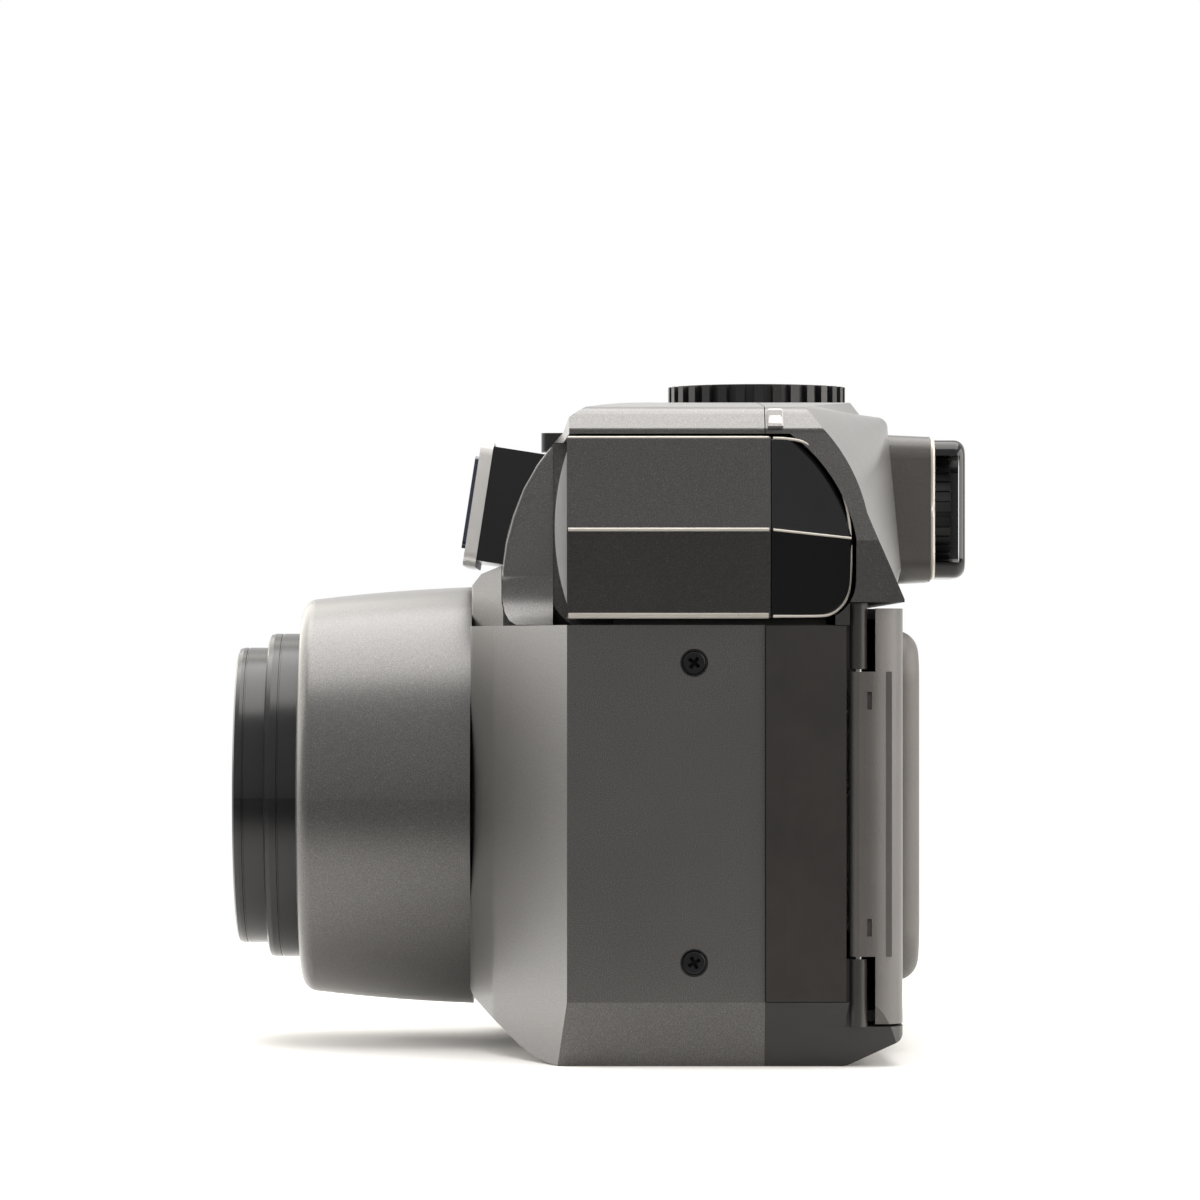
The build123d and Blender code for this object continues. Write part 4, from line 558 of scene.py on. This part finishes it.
def white_tent():
    """World: a white tent, open and dimmer on the side where the photograph was taken from."""
    world = bpy.data.worlds.new("surroundings")
    bpy.context.scene.world = world
    world.use_nodes = True
    tree = world.node_tree
    tree.nodes.clear()
    out = add(tree, "ShaderNodeOutputWorld")
    backdrop = add(tree, "ShaderNodeBackground")
    backdrop.inputs["Color"].default_value = (1, 1, 1, 1)
    backdrop.inputs["Strength"].default_value = 1.0
    tent = add(tree, "ShaderNodeBackground")
    tent.inputs["Color"].default_value = (1.0, 0.985, 0.965, 1)
    way = add(tree, "ShaderNodeTexCoord")
    split = add(tree, "ShaderNodeSeparateXYZ")
    tree.links.new(way.outputs["Generated"], split.inputs["Vector"])
    opening = map_range(tree, split.outputs["X"], -0.1, 0.55, 1.0, 0.5, interpolation_type="SMOOTHSTEP")
    paths = add(tree, "ShaderNodeLightPath")
    # twice as bright in polished surfaces and glass as in the light it gives
    level = map_range(tree, seen_rays(tree, paths), 0.0, 1.0, 0.5, 1.0)
    tree.links.new(math_node(tree, "MULTIPLY", opening, level), tent.inputs["Strength"])
    shown = mix_shaders(tree, paths.outputs["Is Camera Ray"], tent.outputs["Background"],
                        backdrop.outputs["Background"])
    tree.links.new(shown, out.inputs["Surface"])


# Lights
def area_light(name, place, target, width, height, watts, colour, mirrored):
    """Soft lamp turned toward a target; mirrored says whether polished surfaces show it."""
    data = bpy.data.lights.new(name, "AREA")
    data.shape = "RECTANGLE"
    data.size, data.size_y = width, height
    data.energy = watts
    data.color = colour
    lamp = bpy.data.objects.new(name, data)
    lamp.location = place
    lamp.rotation_euler = (Vector(target) - Vector(place)).to_track_quat("-Z", "Y").to_euler()
    lamp.visible_glossy = mirrored
    bpy.context.scene.collection.objects.link(lamp)


floor_plane()
white_tent()
body_middle = (0, 0, 0.04)
area_light("top_light", (-0.1, 0.0, 0.9), (0, 0, 0.03), 1.0, 1.0, 11.0, (1.0, 0.985, 0.96), True)
area_light("front_light", (-0.55, -0.85, 0.62), body_middle, 2.0, 1.2, 13.0, (1.0, 0.95, 0.87), True)
area_light("back_light", (0.27, 0.95, 0.4), body_middle, 1.4, 0.9, 14.0, (1.0, 0.95, 0.88), True)
area_light("side_fill", (1.2, 0.1, 0.75), body_middle, 1.0, 0.6, 4.0, (1.0, 0.97, 0.94), False)
area_light("front_fill", (0.15, -1.15, 0.35), body_middle, 1.0, 0.8, 7.0, (1.0, 0.96, 0.9), False)

cheek_panel()
flash_highlights()
eyepiece_rim_highlight()
shoulder_highlight()
roof_insert()
side_screw_crosses()
dial_numbers()
battery_wall()
